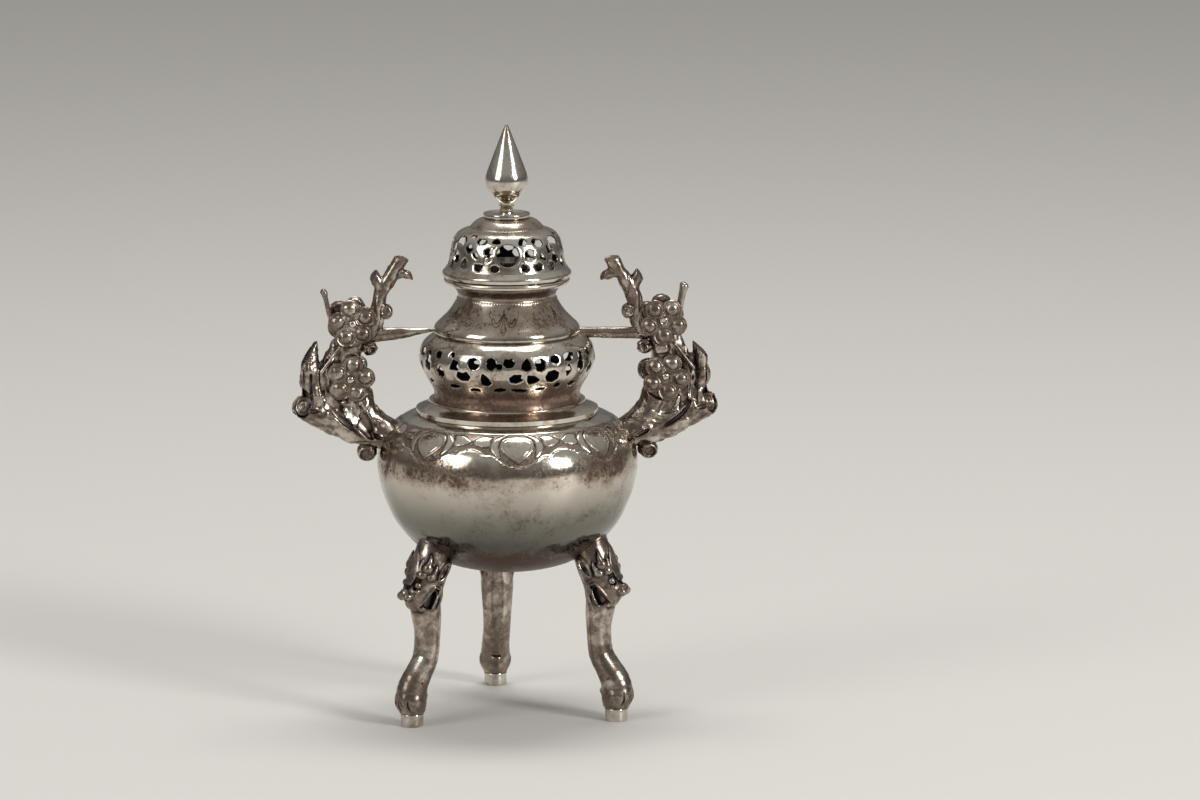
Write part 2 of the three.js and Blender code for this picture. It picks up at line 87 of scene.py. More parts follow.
# What keeps a division by a length of nothing harmless, and what a search for the nearest form starts from.
TINY = 1e-6
GUARD = 1e-12
FAR = 1e9
# The joint between a cast piece and the bowl, in millimetres.
SEATED = 0.25
# How far a sawn opening's corners are rounded, in millimetres, and the share that makes up for it.
SAW_ROUND = 0.5
SAW_SPREAD = 1.14
# The tarnish of a sheet's inner face, where no cloth reaches, set at black: partly real tarnish, partly
# painted shade for the dark inside of the piece.
UNPOLISHED_AND_PAINTED_SHADE = 1.0
# Grows smoothly over a Map Range node's span, level at both ends.
SMOOTH = {"interpolation_type": "SMOOTHSTEP"}


class Body(Enum):
    """The frame's rigid bodies."""

    VESSEL = "vessel"
    LID = "lid"


class Slot(Enum):
    """The record's material slots."""

    RAISED = "raised_silver"
    TURNED = "turned_silver"
    PIERCED = "pierced_silver"
    CAST = "cast_silver"


class Level(Enum):
    """Where on a handle a pair of blossoms sits."""

    UPPER = "upper"
    LOWER = "lower"


class Face(Enum):
    """Which side of a handle a blossom is on, as its direction along Y."""

    FRONT = -1
    BACK = 1


# Numbers over space


def linear(hex_colour: str) -> tuple[float, float, float, float]:
    """Turn an sRGB hex colour to linear light.

    Args:
        hex_colour: A colour such as "#c8c0b4".

    Returns:
        Red, green, blue and an alpha of 1.
    """
    channels = [int(hex_colour[i : i + 2], 16) / 255 for i in (1, 3, 5)]
    red, green, blue = (c / 12.92 if c <= 0.04045 else ((c + 0.055) / 1.055) ** 2.4 for c in channels)
    return red, green, blue, 1.0


def curve_through(rows: Rows, count: int) -> Array:
    """Points on a Catmull-Rom curve through the rows, spread evenly from row to row.

    Between rows b and c, with neighbours a and d, the point is the cubic that leaves b at (c - a) / 2 and
    reaches c at (d - b) / 2. An end row stands for its own missing neighbour.

    Args:
        rows: Points with any number of columns.
        count: How many points to give.

    Returns:
        An array of count rows.
    """
    points = np.asarray(rows, float)
    last = len(points) - 1
    place = np.linspace(0, last, count)
    start = np.minimum(place.astype(int), last - 1)
    t = (place - start)[:, None]
    a, b, c, d = (points[np.clip(start + k, 0, last)] for k in (-1, 0, 1, 2))
    leave, reach = (c - a) / 2, (d - b) / 2
    return (2 * b - 2 * c + leave + reach) * t**3 + (3 * c - 3 * b - 2 * leave - reach) * t**2 + leave * t + b


def loop_through(rows: Rows, count: int) -> Array:
    """Points on a curve through the rows and back to the first."""
    return curve_through((*rows, rows[0]), count)


def ridge(value: Array, middle: float, spread: float) -> Array:
    """A rounded ridge that is 1 where the value is the middle: exp(-(value - middle)^2 / spread)."""
    return np.exp(-((value - middle) ** 2) / spread)


def hashed(cell: Array, seed: int) -> Array:
    """A repeatable number from -1 to 1 for each whole-numbered cell.

    Args:
        cell: Integer places, with x, y and z in the last axis.
        seed: Which of many such patterns to give.

    Returns:
        One number for each cell.
    """
    x, y, z = (cell[..., k].astype(np.uint32) for k in range(3))
    mixed = x * np.uint32(374761393) + y * np.uint32(668265263) + z * np.uint32(3266489917)
    mixed = mixed + np.uint32(seed * 2654435 + 97)
    mixed = (mixed ^ (mixed >> np.uint32(13))) * np.uint32(1274126177)
    mixed = mixed ^ (mixed >> np.uint32(16))
    return mixed / 2147483648.0 - 1.0


def noise(points: Array, size: float, seed: int = 0) -> Array:
    """Smooth noise: random values at the corners of a cubic lattice, blended by smooth steps between them.

    Args:
        points: Places, one to a row.
        size: The lattice spacing, in the same unit.
        seed: Which pattern to give.

    Returns:
        A value from -1 to 1 for each place.
    """
    scaled = points / size + 1000.0
    cell = np.floor(scaled).astype(np.int64)
    t = scaled - cell
    t = t * t * (3 - 2 * t)
    total = np.zeros(points.shape[:-1])
    for corner in np.ndindex(2, 2, 2):
        weight = np.prod(np.where(corner, t, 1 - t), axis=-1)
        total += weight * hashed(cell + np.array(corner), seed)
    return total


def smooth_step(low: float, high: float, value: Array) -> Array:
    """Rise from 0 at low to 1 at high, level at both ends."""
    t = np.clip((value - low) / (high - low), 0, 1)
    return t * t * (3 - 2 * t)


# Skins: closed triangle meshes with a tarnish value at each point


@dataclass
class Skin:
    """A closed triangle mesh in millimetres.

    Attributes:
        points: Places, one to a row.
        faces: Three point numbers to a row, anticlockwise from outside.
        tarnish: From -1, rubbed bright, through 0, as found, to 1, black, at each point.
    """

    points: Array
    faces: Array
    tarnish: Array

    def tidy(self) -> Skin:
        """Drop empty faces and unused points, and turn the faces outwards."""
        a, b, c = self.faces.T
        faces = self.faces[(a != b) & (b != c) & (c != a)]
        used, faces = np.unique(faces, return_inverse=True)
        faces = faces.reshape(-1, 3)
        points, tarnish = self.points[used], self.tarnish[used]
        p, q, r = (points[faces[:, k]] for k in range(3))
        if np.einsum("ij,ij->", p, np.cross(q, r)) < 0:
            faces = faces[:, ::-1]
        return Skin(points, faces, tarnish)

    def turned(self, azimuth: float) -> Skin:
        """The skin turned about the Z axis by an angle in radians."""
        c, s = math.cos(azimuth), math.sin(azimuth)
        spin = np.array([[c, -s, 0], [s, c, 0], [0, 0, 1]])
        return self.moved(self.points @ spin.T)

    def moved(self, points: Array) -> Skin:
        """The same skin with its points elsewhere."""
        return Skin(points, self.faces, self.tarnish)


def build_object(name: str, skin: Skin, material: bpy.types.Material) -> bpy.types.Object:
    """Put a skin into a mesh object, in metres, with its tarnish as an attribute.

    Args:
        name: The object's name.
        skin: The surface.
        material: Its finish.

    Returns:
        The object, linked to the scene at the origin.
    """
    skin = skin.tidy()
    mesh = bpy.data.meshes.new(name)
    mesh.vertices.add(len(skin.points))
    mesh.vertices.foreach_set("co", (skin.points * MM).astype(np.float32).ravel())
    mesh.loops.add(skin.faces.size)
    mesh.loops.foreach_set("vertex_index", skin.faces.astype(np.int32).ravel())
    mesh.polygons.add(len(skin.faces))
    mesh.polygons.foreach_set("loop_start", np.arange(0, skin.faces.size, 3, dtype=np.int32))
    mesh.polygons.foreach_set("use_smooth", np.ones(len(skin.faces), dtype=bool))
    mesh.update(calc_edges=True)
    mesh.validate()
    layer = mesh.attributes.new("tarnish", "FLOAT", "POINT")
    layer.data.foreach_set("value", np.clip(skin.tarnish, -1, 1).astype(np.float32))
    mesh.set_sharp_from_angle(angle=CREASE)
    mesh.materials.append(material)
    made = bpy.data.objects.new(name, mesh)
    bpy.context.scene.collection.objects.link(made)
    return made


# Turned and raised work


def directions(outline: Array) -> Array:
    """The outline's own direction at each row, one long: the slope between the rows beside it."""
    step = np.gradient(outline, axis=0)
    return step / (np.linalg.norm(step, axis=1)[:, None] + GUARD)


def offset(outline: Array, distance: float) -> Array:
    """Move an outline of radius and height along its normal, inwards for a positive distance.

    Args:
        outline: Rows of radius and height, from foot to top.
        distance: How far to move it.

    Returns:
        The moved outline. An end off the axis keeps its height if it stands up, or its radius if it is flat.
    """
    step = directions(outline)
    moved = outline + distance * np.stack([-step[:, 1], step[:, 0]], axis=1)
    for end in (0, -1):
        if outline[end, 0] > 0 and abs(step[end, 1]) > abs(step[end, 0]):
            moved[end, 1] = outline[end, 1]
        elif outline[end, 0] > 0:
            moved[end, 0] = outline[end, 0]
    moved[:, 0] = np.maximum(moved[:, 0], 0)
    return moved


def arc_length(outline: Array) -> Array:
    """The distance along an outline from its first row to each row."""
    return np.concatenate([[0], np.cumsum(np.linalg.norm(np.diff(outline, axis=0), axis=1))])


def grid_faces(columns: int, rows: int, close_columns: bool, close_rows: bool) -> Array:
    """Triangles over a grid of points numbered column by column.

    Args:
        columns: How many columns of points.
        rows: How many points in each column.
        close_columns: Whether the last column joins the first.
        close_rows: Whether each column's last point joins its first.

    Returns:
        Three point numbers to a row.
    """
    i = np.arange(columns if close_columns else columns - 1)[:, None]
    j = np.arange(rows if close_rows else rows - 1)[None, :]
    a = i * rows + j
    b = (i + 1) % columns * rows + j
    c = (i + 1) % columns * rows + (j + 1) % rows
    d = i * rows + (j + 1) % rows
    return np.concatenate([np.stack([a, b, c], -1).reshape(-1, 3), np.stack([a, c, d], -1).reshape(-1, 3)])


def around(azimuth: Array, radius: Array, height: Array) -> Array:
    """Points at angles from the front, at radii and heights."""
    return np.stack([radius * np.sin(azimuth), -radius * np.cos(azimuth), height + 0 * azimuth], -1)


def revolve(profile: Array, segments: int, outside: int = 0, relief: Relief | None = None) -> Skin:
    """Carry a profile round the axis.

    The point at angle t and profile row j is (r sin t, -r cos t, z), moved out along the profile's normal by
    the relief's height where j is on the outside.

    Args:
        profile: Rows of radius and height, closing on itself or running from the axis to the axis.
        segments: Steps round the axis.
        outside: How many of the first rows are the outer face, which takes the relief.
        relief: Gives height and tarnish over angle and arc length.

    Returns:
        The closed skin.
    """
    rows = len(profile)
    azimuth = np.linspace(0, TURN, segments, endpoint=False)[:, None]
    radius = np.repeat(profile[None, :, 0], segments, axis=0)
    height = np.repeat(profile[None, :, 1], segments, axis=0)
    tarnish = np.zeros_like(radius)
    if relief:
        step = directions(profile[:outside])
        lift, tarnish[:, :outside] = relief(azimuth, arc_length(profile[:outside])[None, :])
        radius[:, :outside] += lift * step[:, 1]
        height[:, :outside] -= lift * step[:, 0]
    points = around(azimuth, radius, height).reshape(-1, 3)
    closed = profile[0, 0] > TINY
    faces = grid_faces(segments, rows, True, closed)
    poles = np.flatnonzero(profile[:, 0] <= TINY)
    row_of = faces % rows
    faces = np.where(np.isin(row_of, poles), row_of, faces)
    return Skin(points, faces, tarnish.reshape(-1))


def wall(outline: Array, thickness: float) -> Array:
    """A closed profile: the outline up the outside, and its offset down the inside."""
    return np.concatenate([outline, offset(outline, thickness)[::-1]])


def clip_faces(faces: Array, value: Array) -> tuple[Array, Array, Array]:
    """Cut triangles along the line where a value at their corners crosses zero, and keep the positive side.

    Each crossed edge gets one new point, where the value would be zero if it changed evenly along the edge.

    Args:
        faces: Three point numbers to a row.
        value: A number at each point.

    Returns:
        The kept faces, the crossed edges as pairs of old points, and how far along each its new point is.
        New points are numbered after the old ones.
    """
    inside = value[faces] > 0
    kept = [faces[inside.all(axis=1)]]
    mixed = faces[inside.any(axis=1) & ~inside.all(axis=1)]
    sign = value[mixed] > 0
    odd = np.where(sign.sum(axis=1) == 1, sign.argmax(axis=1), (~sign).argmax(axis=1))
    row = np.arange(len(mixed))
    a, b, c = (mixed[row, (odd + k) % 3] for k in range(3))
    ends = np.concatenate([np.stack([a, b], 1), np.stack([a, c], 1)])
    edges, which = np.unique(np.sort(ends, axis=1), axis=0, return_inverse=True)
    which = which.reshape(-1) + len(value)
    on_ab, on_ac = which[: len(mixed)], which[len(mixed) :]
    lone = sign[row, odd]
    kept.append(np.stack([a, on_ab, on_ac], 1)[lone])
    kept.append(np.stack([on_ab, b, c], 1)[~lone])
    kept.append(np.stack([on_ab, c, on_ac], 1)[~lone])
    low, high = value[edges[:, 0]], value[edges[:, 1]]
    return np.concatenate(kept), edges, low / (low - high)


def pierced(
    outline: Array,
    thickness: float,
    segments: int,
    openings: Callable[[Array, Array], Array],
    relief: Relief,
) -> Skin:
    """A raised sheet with openings sawn through it.

    The sheet is a grid over angle and arc length, clipped where the openings' field is negative. The same
    faces are laid on the outer and the inner outline, and every loose edge gets a wall between the two.

    Args:
        outline: Rows of radius and height, from foot to top, evenly and finely spaced.
        thickness: The sheet's thickness.
        segments: Steps round the axis.
        openings: Gives the distance in millimetres to the nearest opening, negative inside it.
        relief: Gives the outer face's height and tarnish.

    Returns:
        The closed skin.
    """
    rows = len(outline)
    azimuth = np.linspace(0, TURN, segments, endpoint=False)[:, None]
    arc = arc_length(outline)[None, :]
    step = directions(outline)
    lift, tarnish = relief(azimuth, arc)
    outer = around(azimuth, outline[None, :, 0] + lift * step[:, 1], outline[None, :, 1] - lift * step[:, 0])
    inside = offset(outline, thickness)
    inner = around(azimuth, np.repeat(inside[None, :, 0], segments, axis=0), inside[None, :, 1])
    faces = grid_faces(segments, rows, True, False)
    value = openings(azimuth, arc).reshape(-1)
    kept, edges, share = clip_faces(faces, value)

    def with_new(flat: Array) -> Array:
        """The values at the old points, and those at the new points on the crossed edges."""
        weight = share.reshape((-1,) + (1,) * (flat.ndim - 1))
        return np.concatenate([flat, flat[edges[:, 0]] * (1 - weight) + flat[edges[:, 1]] * weight])

    outer, inner = with_new(outer.reshape(-1, 3)), with_new(inner.reshape(-1, 3))
    tone = with_new(np.broadcast_to(tarnish, (segments, rows)).reshape(-1))
    shift = len(outer)
    half_edges = np.concatenate([kept[:, [0, 1]], kept[:, [1, 2]], kept[:, [2, 0]]])
    keys = half_edges[:, 0] * shift + half_edges[:, 1]
    loose = half_edges[~np.isin(keys, half_edges[:, 1] * shift + half_edges[:, 0])]
    a, b = loose.T
    walls = np.concatenate([np.stack([b, a, a + shift], 1), np.stack([b, a + shift, b + shift], 1)])
    all_faces = np.concatenate([kept, kept[:, ::-1] + shift, walls])
    # The inner face takes full tarnish: real tarnish, with painted shade for the dark inside.
    return Skin(np.concatenate([outer, inner]), all_faces, np.concatenate([tone, np.full(shift, UNPOLISHED_AND_PAINTED_SHADE)]))


# Cast work: fields that are negative inside the metal


def blend(a: Array, b: Array, soft: float) -> Array:
    """Join two fields, rounding the corner between them over a distance."""
    mix = np.clip(0.5 + 0.5 * (b - a) / soft, 0, 1)
    return b + (a - b) * mix - soft * mix * (1 - mix)


def carve(a: Array, tool: Array, soft: float) -> Array:
    """Cut the second field out of the first, rounding the edge over a distance."""
    return -blend(-a, tool, soft)


def egg(points: Array, centre: Sequence[float], radii: Sequence[float], tilt: float = 0.0) -> Array:
    """The distance to an ellipsoid, nearly: |q| (|q| - 1) / |q / radii|, where q is the place over the radii.

    Args:
        points: Places, one to a row.
        centre: Its middle.
        radii: Its half lengths.
        tilt: How far it leans about the Y axis, in degrees, from +Z towards +X.

    Returns:
        The field.
    """
    p = points - np.asarray(centre)
    c, s = math.cos(math.radians(tilt)), math.sin(math.radians(tilt))
    x, z = p[:, 0] * c - p[:, 2] * s, p[:, 0] * s + p[:, 2] * c
    q = np.stack([x, p[:, 1], z], 1) / np.asarray(radii)
    length = np.linalg.norm(q, axis=1) + TINY
    return length * (length - 1) / (np.linalg.norm(q / np.asarray(radii), axis=1) + TINY)


def strand(points: Array, path: Array, radius: Array) -> Array:
    """The distance to a chain of segments whose radius changes evenly along each one.

    Args:
        points: Places, one to a row.
        path: The chain's corners.
        radius: The radius at each corner.

    Returns:
        The field.
    """
    nearest = np.full(len(points), FAR)
    for (start, end), (thick, thin) in zip(zip(path, path[1:]), zip(radius, radius[1:])):
        along = end - start
        t = np.clip((points - start) @ along / (along @ along + GUARD), 0, 1)
        gap = np.linalg.norm(points - start - t[:, None] * along, axis=1) - (thick + (thin - thick) * t)
        nearest = np.minimum(nearest, gap)
    return nearest


def line(points: Array, rows: Rows, count: int = 8) -> Array:
    """The distance to a smooth strand through rows of x, y, z and radius."""
    curve = curve_through(rows, count)
    return strand(points, curve[:, :3], curve[:, 3])


def slab(points: Array, centre: Sequence[float], normal: Sequence[float]) -> Array:
    """The height above a plane through a place, along its normal."""
    n = np.asarray(normal, float)
    return (points - np.asarray(centre)) @ (n / np.linalg.norm(n))


def about_line(points: Array, centre: Sequence[float], way: Sequence[float]) -> tuple[Array, Array]:
    """The height along a line through a place, and the distance beside it: the root of |p|^2 - height^2."""
    rise = slab(points, centre, way)
    apart = np.linalg.norm(points - np.asarray(centre), axis=1)
    return rise, np.sqrt(np.maximum(apart**2 - rise**2, 0))


def limb(points: Array, rows: Rows, count: int, shift: float = 0.0) -> Array:
    """The distance to a limb that bends in the XZ plane, with an oval section.

    At the nearest place on each short segment, with n the distance in the plane and y the distance across it,
    the field is |q| (|q| - 1) / |q / (a, b)|, where q = (n / a, y / b).

    Args:
        points: Places, one to a row.
        rows: Rows of x, z, half thickness a in the plane and half depth b across it.
        count: How many corners the limb's line gets.
        shift: Where the limb's plane lies along Y.

    Returns:
        The field.
    """
    curve = curve_through(rows, count)
    flat, across = points[:, [0, 2]], np.abs(points[:, 1] - shift)
    nearest = np.full(len(points), FAR)
    for low, high in zip(curve, curve[1:]):
        along = high[:2] - low[:2]
        t = np.clip((flat - low[:2]) @ along / (along @ along), 0, 1)
        gap = np.linalg.norm(flat - low[:2] - t[:, None] * along, axis=1)
        a, b = (low[k] + (high[k] - low[k]) * t for k in (2, 3))
        length = np.hypot(gap / a, across / b) + TINY
        nearest = np.minimum(nearest, length * (length - 1) / (np.hypot(gap / a**2, across / b**2) + TINY))
    return nearest


def polygon(points: Array, corners: Rows) -> Array:
    """The distance to a polygon's nearest edge, negative inside it.

    Args:
        points: Places in a plane, one to a row.
        corners: The polygon's corners in turn.

    Returns:
        The field.
    """
    ends = np.asarray(corners, float)
    nearest, inside = np.full(len(points), FAR), np.zeros(len(points), bool)
    for a, b in zip(ends, np.roll(ends, -1, axis=0)):
        edge = b - a
        t = np.clip((points - a) @ edge / (edge @ edge + TINY**2), 0, 1)
        nearest = np.minimum(nearest, np.linalg.norm(points - a - t[:, None] * edge, axis=1))
        spans = (a[1] <= points[:, 1]) != (b[1] <= points[:, 1])
        rise = edge[1] if edge[1] else 1.0
        inside ^= spans & (points[:, 0] < a[0] + (points[:, 1] - a[1]) * edge[0] / rise)
    return np.where(inside, -nearest, nearest)


def hollow(form: Array, tool: Array, lip: float) -> Array:
    """Cut a hollow and leave a rounded lip along its edge: a tube round the line where both are zero."""
    return blend(carve(form, tool, lip), np.hypot(form, tool) - lip, lip)


def turned_field(points: Array, outline: Array) -> Array:
    """The distance from an outline of radius and height carried round the axis, negative inside it."""
    radius = np.hypot(points[:, 0], points[:, 1])
    edge = np.interp(points[:, 2], outline[:, 1], outline[:, 0])
    slope = np.gradient(outline[:, 0], outline[:, 1])
    lean = np.interp(points[:, 2], outline[:, 1], slope)
    above = np.maximum(outline[0, 1] - points[:, 2], points[:, 2] - outline[-1, 1])
    return np.maximum((radius - edge) / np.sqrt(1 + lean**2), above)


@dataclass(frozen=True)
class Mesher:
    """Finds the zero surface of a field on a cubic grid.

    One point goes into each cell that the surface crosses, at the middle of the crossings on its edges, and
    one quad round each grid edge whose ends lie on different sides. The points are then drawn onto it.

    Attributes:
        step: The grid spacing.
        draws: How many times the points are drawn onto the surface.
    """

    step: float = 0.3
    draws: int = 2

    def gradient(self, form: Field, points: Array) -> tuple[Array, Array]:
        """The field and its slope, from four corners of a small tetrahedron round each point.

        Args:
            form: The field.
            points: Places, one to a row.

        Returns:
            The field and its slope at each place.
        """
        reach = self.step * 0.4
        corners = np.array([[1, -1, -1], [-1, -1, 1], [-1, 1, -1], [1, 1, 1]])
        values = np.stack([form(points + corner * reach) for corner in corners])
        slope = np.einsum("kn,kd->nd", values, corners) / (4 * reach)
        return values.mean(axis=0), slope

    def sample(self, form: Field, low: Array, shape: Array) -> Array:
        """The field on the grid, worked out in full only near its surface.

        Args:
            form: The field.
            low: The grid's lowest corner.
            shape: How many points along each axis.

        Returns:
            The field at each grid point.
        """
        block = 6
        coarse_shape = tuple(-(-n // block) for n in shape)
        index = np.stack(np.meshgrid(*(np.arange(n) for n in coarse_shape), indexing="ij"), -1)
        centres = low + (index.reshape(-1, 3) * block + block / 2 - 0.5) * self.step
        coarse = form(centres).reshape(coarse_shape)
        near = np.abs(coarse) < self.step * block * 1.35
        grid = np.repeat(np.repeat(np.repeat(coarse, block, 0), block, 1), block, 2)
        live = np.repeat(np.repeat(np.repeat(near, block, 0), block, 1), block, 2)
        crop = tuple(slice(0, n) for n in shape)
        grid, live = grid[crop].copy(), live[crop]
        grid[live] = form(low + np.argwhere(live) * self.step)
        return grid

    def mesh(self, form: Field, low: Sequence[float], high: Sequence[float]) -> tuple[Array, Array]:
        """Mesh the zero surface inside a box.

        Args:
            form: The field.
            low: The box's lowest corner.
            high: Its highest corner.

        Returns:
            Points, and triangles as rows of three point numbers.
        """
        base = np.asarray(low, float)
        shape = np.ceil((np.asarray(high) - base) / self.step).astype(int) + 1
        grid = self.sample(form, base, shape)
        solid = grid < 0
        corners = list(np.ndindex(2, 2, 2))
        cells = tuple(n - 1 for n in shape)
        part = {c: tuple(slice(c[k], c[k] + cells[k]) for k in range(3)) for c in corners}
        filled = sum(solid[part[c]].astype(np.int8) for c in corners)
        active = np.argwhere((filled > 0) & (filled < 8))
        number = np.full(cells, -1, dtype=np.int64)
        number[tuple(active.T)] = np.arange(len(active))
        total, count = np.zeros((len(active), 3)), np.zeros(len(active))
        for first in corners:
            for axis in range(3):
                if first[axis]:
                    continue
                second = tuple(first[k] + (k == axis) for k in range(3))
                v0 = grid[tuple((active + first).T)]
                v1 = grid[tuple((active + second).T)]
                cross = (v0 < 0) != (v1 < 0)
                t = np.where(cross, v0 / np.where(cross, v0 - v1, 1), 0)
                place = np.array(first, float) + t[:, None] * np.eye(3)[axis]
                total += place * cross[:, None]
                count += cross
        points = base + (active + total / count[:, None]) * self.step
        faces = self._quads(solid, number)
        for _ in range(self.draws):
            value, slope = self.gradient(form, points)
            shift = value[:, None] * slope / (np.einsum("ij,ij->i", slope, slope)[:, None] + TINY)
            points = points - np.clip(shift, -self.step / 2, self.step / 2)
        return points, faces

    @staticmethod
    def _quads(solid: Array, number: Array) -> Array:
        """Triangles round every grid edge whose two ends lie on different sides of the surface.

        Args:
            solid: Whether each grid point is inside.
            number: The point number in each cell.

        Returns:
            Three point numbers to a row, with the faces out.
        """
        found = []
        for axis in range(3):
            u, v = (axis + 1) % 3, (axis + 2) % 3
            lower = [slice(None)] * 3
            upper = [slice(None)] * 3
            lower[axis], upper[axis] = slice(0, -1), slice(1, None)
            change = solid[tuple(lower)] != solid[tuple(upper)]
            edge = np.argwhere(change)
            edge = edge[(edge[:, u] > 0) & (edge[:, v] > 0)]
            edge = edge[(edge[:, u] < solid.shape[u] - 1) & (edge[:, v] < solid.shape[v] - 1)]
            du, dv = np.eye(3, dtype=int)[u], np.eye(3, dtype=int)[v]
            a, b, c, d = (number[tuple(e.T)] for e in (edge - du - dv, edge - dv, edge, edge - du))
            out = solid[tuple(edge.T)]
            quad = np.stack([a, b, c, d], 1)
            quad = np.where(out[:, None], quad, quad[:, ::-1])
            found += [quad[:, [0, 1, 2]], quad[:, [0, 2, 3]]]
        return np.concatenate(found)


def cast(
    form: Field,
    low: Sequence[float],
    high: Sequence[float],
    step: float = 0.3,
    dark: float = 0.8,
    seed: int = 1,
) -> Skin:
    """Mesh a cast form, with tarnish where it is hollow.

    Hollowness is how much metal is near: the field a little way out along the normal, compared with that
    distance. In a recess the field rises less than it would over a flat face.

    Args:
        form: The field.
        low: The lowest corner of a box that holds it.
        high: The highest corner.
        step: The grid spacing.
        dark: How strongly recesses darken.
        seed: The pattern of the patches.

    Returns:
        The skin.
    """
    mesher = Mesher(step)
    points, faces = mesher.mesh(form, low, high)
    _, slope = mesher.gradient(form, points)
    normal = slope / (np.linalg.norm(slope, axis=1)[:, None] + 1e-9)
    near, far = 0.9, 2.2
    crease = 1 - form(points + normal * near) / near
    valley = 1 - form(points + normal * far) / far
    tarnish = dark * (1.5 * crease + 0.7 * valley) + 0.12 * noise(points, 3.0, seed)
    return Skin(points, faces, tarnish)


# Finishes


def add_node(
    tree: bpy.types.NodeTree,
    kind: str,
    inputs: dict[str | int, object] | None = None,
    output: str | int = 0,
    **settings: object,
) -> Socket | None:
    """Add a node with its settings, and fill its inputs with values or links.

    Args:
        tree: The node tree.
        kind: The node's type name, without the ShaderNode that they all begin with.
        inputs: Values, or output sockets to link, by input name or number.
        output: The name or number of the output that is wanted.
        **settings: The node's own properties.

    Returns:
        That output. A tree's last node has none.
    """
    made = tree.nodes.new(f"ShaderNode{kind}")
    for key, value in settings.items():
        setattr(made, key, value)
    for key, value in (inputs or {}).items():
        if isinstance(value, Socket):
            tree.links.new(value, made.inputs[key])
        else:
            made.inputs[key].default_value = value
    return made.outputs[output] if len(made.outputs) else None


@dataclass(frozen=True)
class Zone:
    """A band of heights on the censer, in millimetres, where its finish differs. On the lower bowl its tint
    is a painted dark reflection.

    Attributes:
        middle: The height where it is strongest.
        reach: How far it fades out above and below.
        share: How strong it is there.
        colour: The tint it has. Without one, it is a band of heavier tarnish.
    """

    middle: float
    reach: float
    # colour: The tint it has, which on the lower bowl is a painted dark reflection. Without one, it is a band
    # of heavier tarnish.
    share: float
    colour: str | None = None


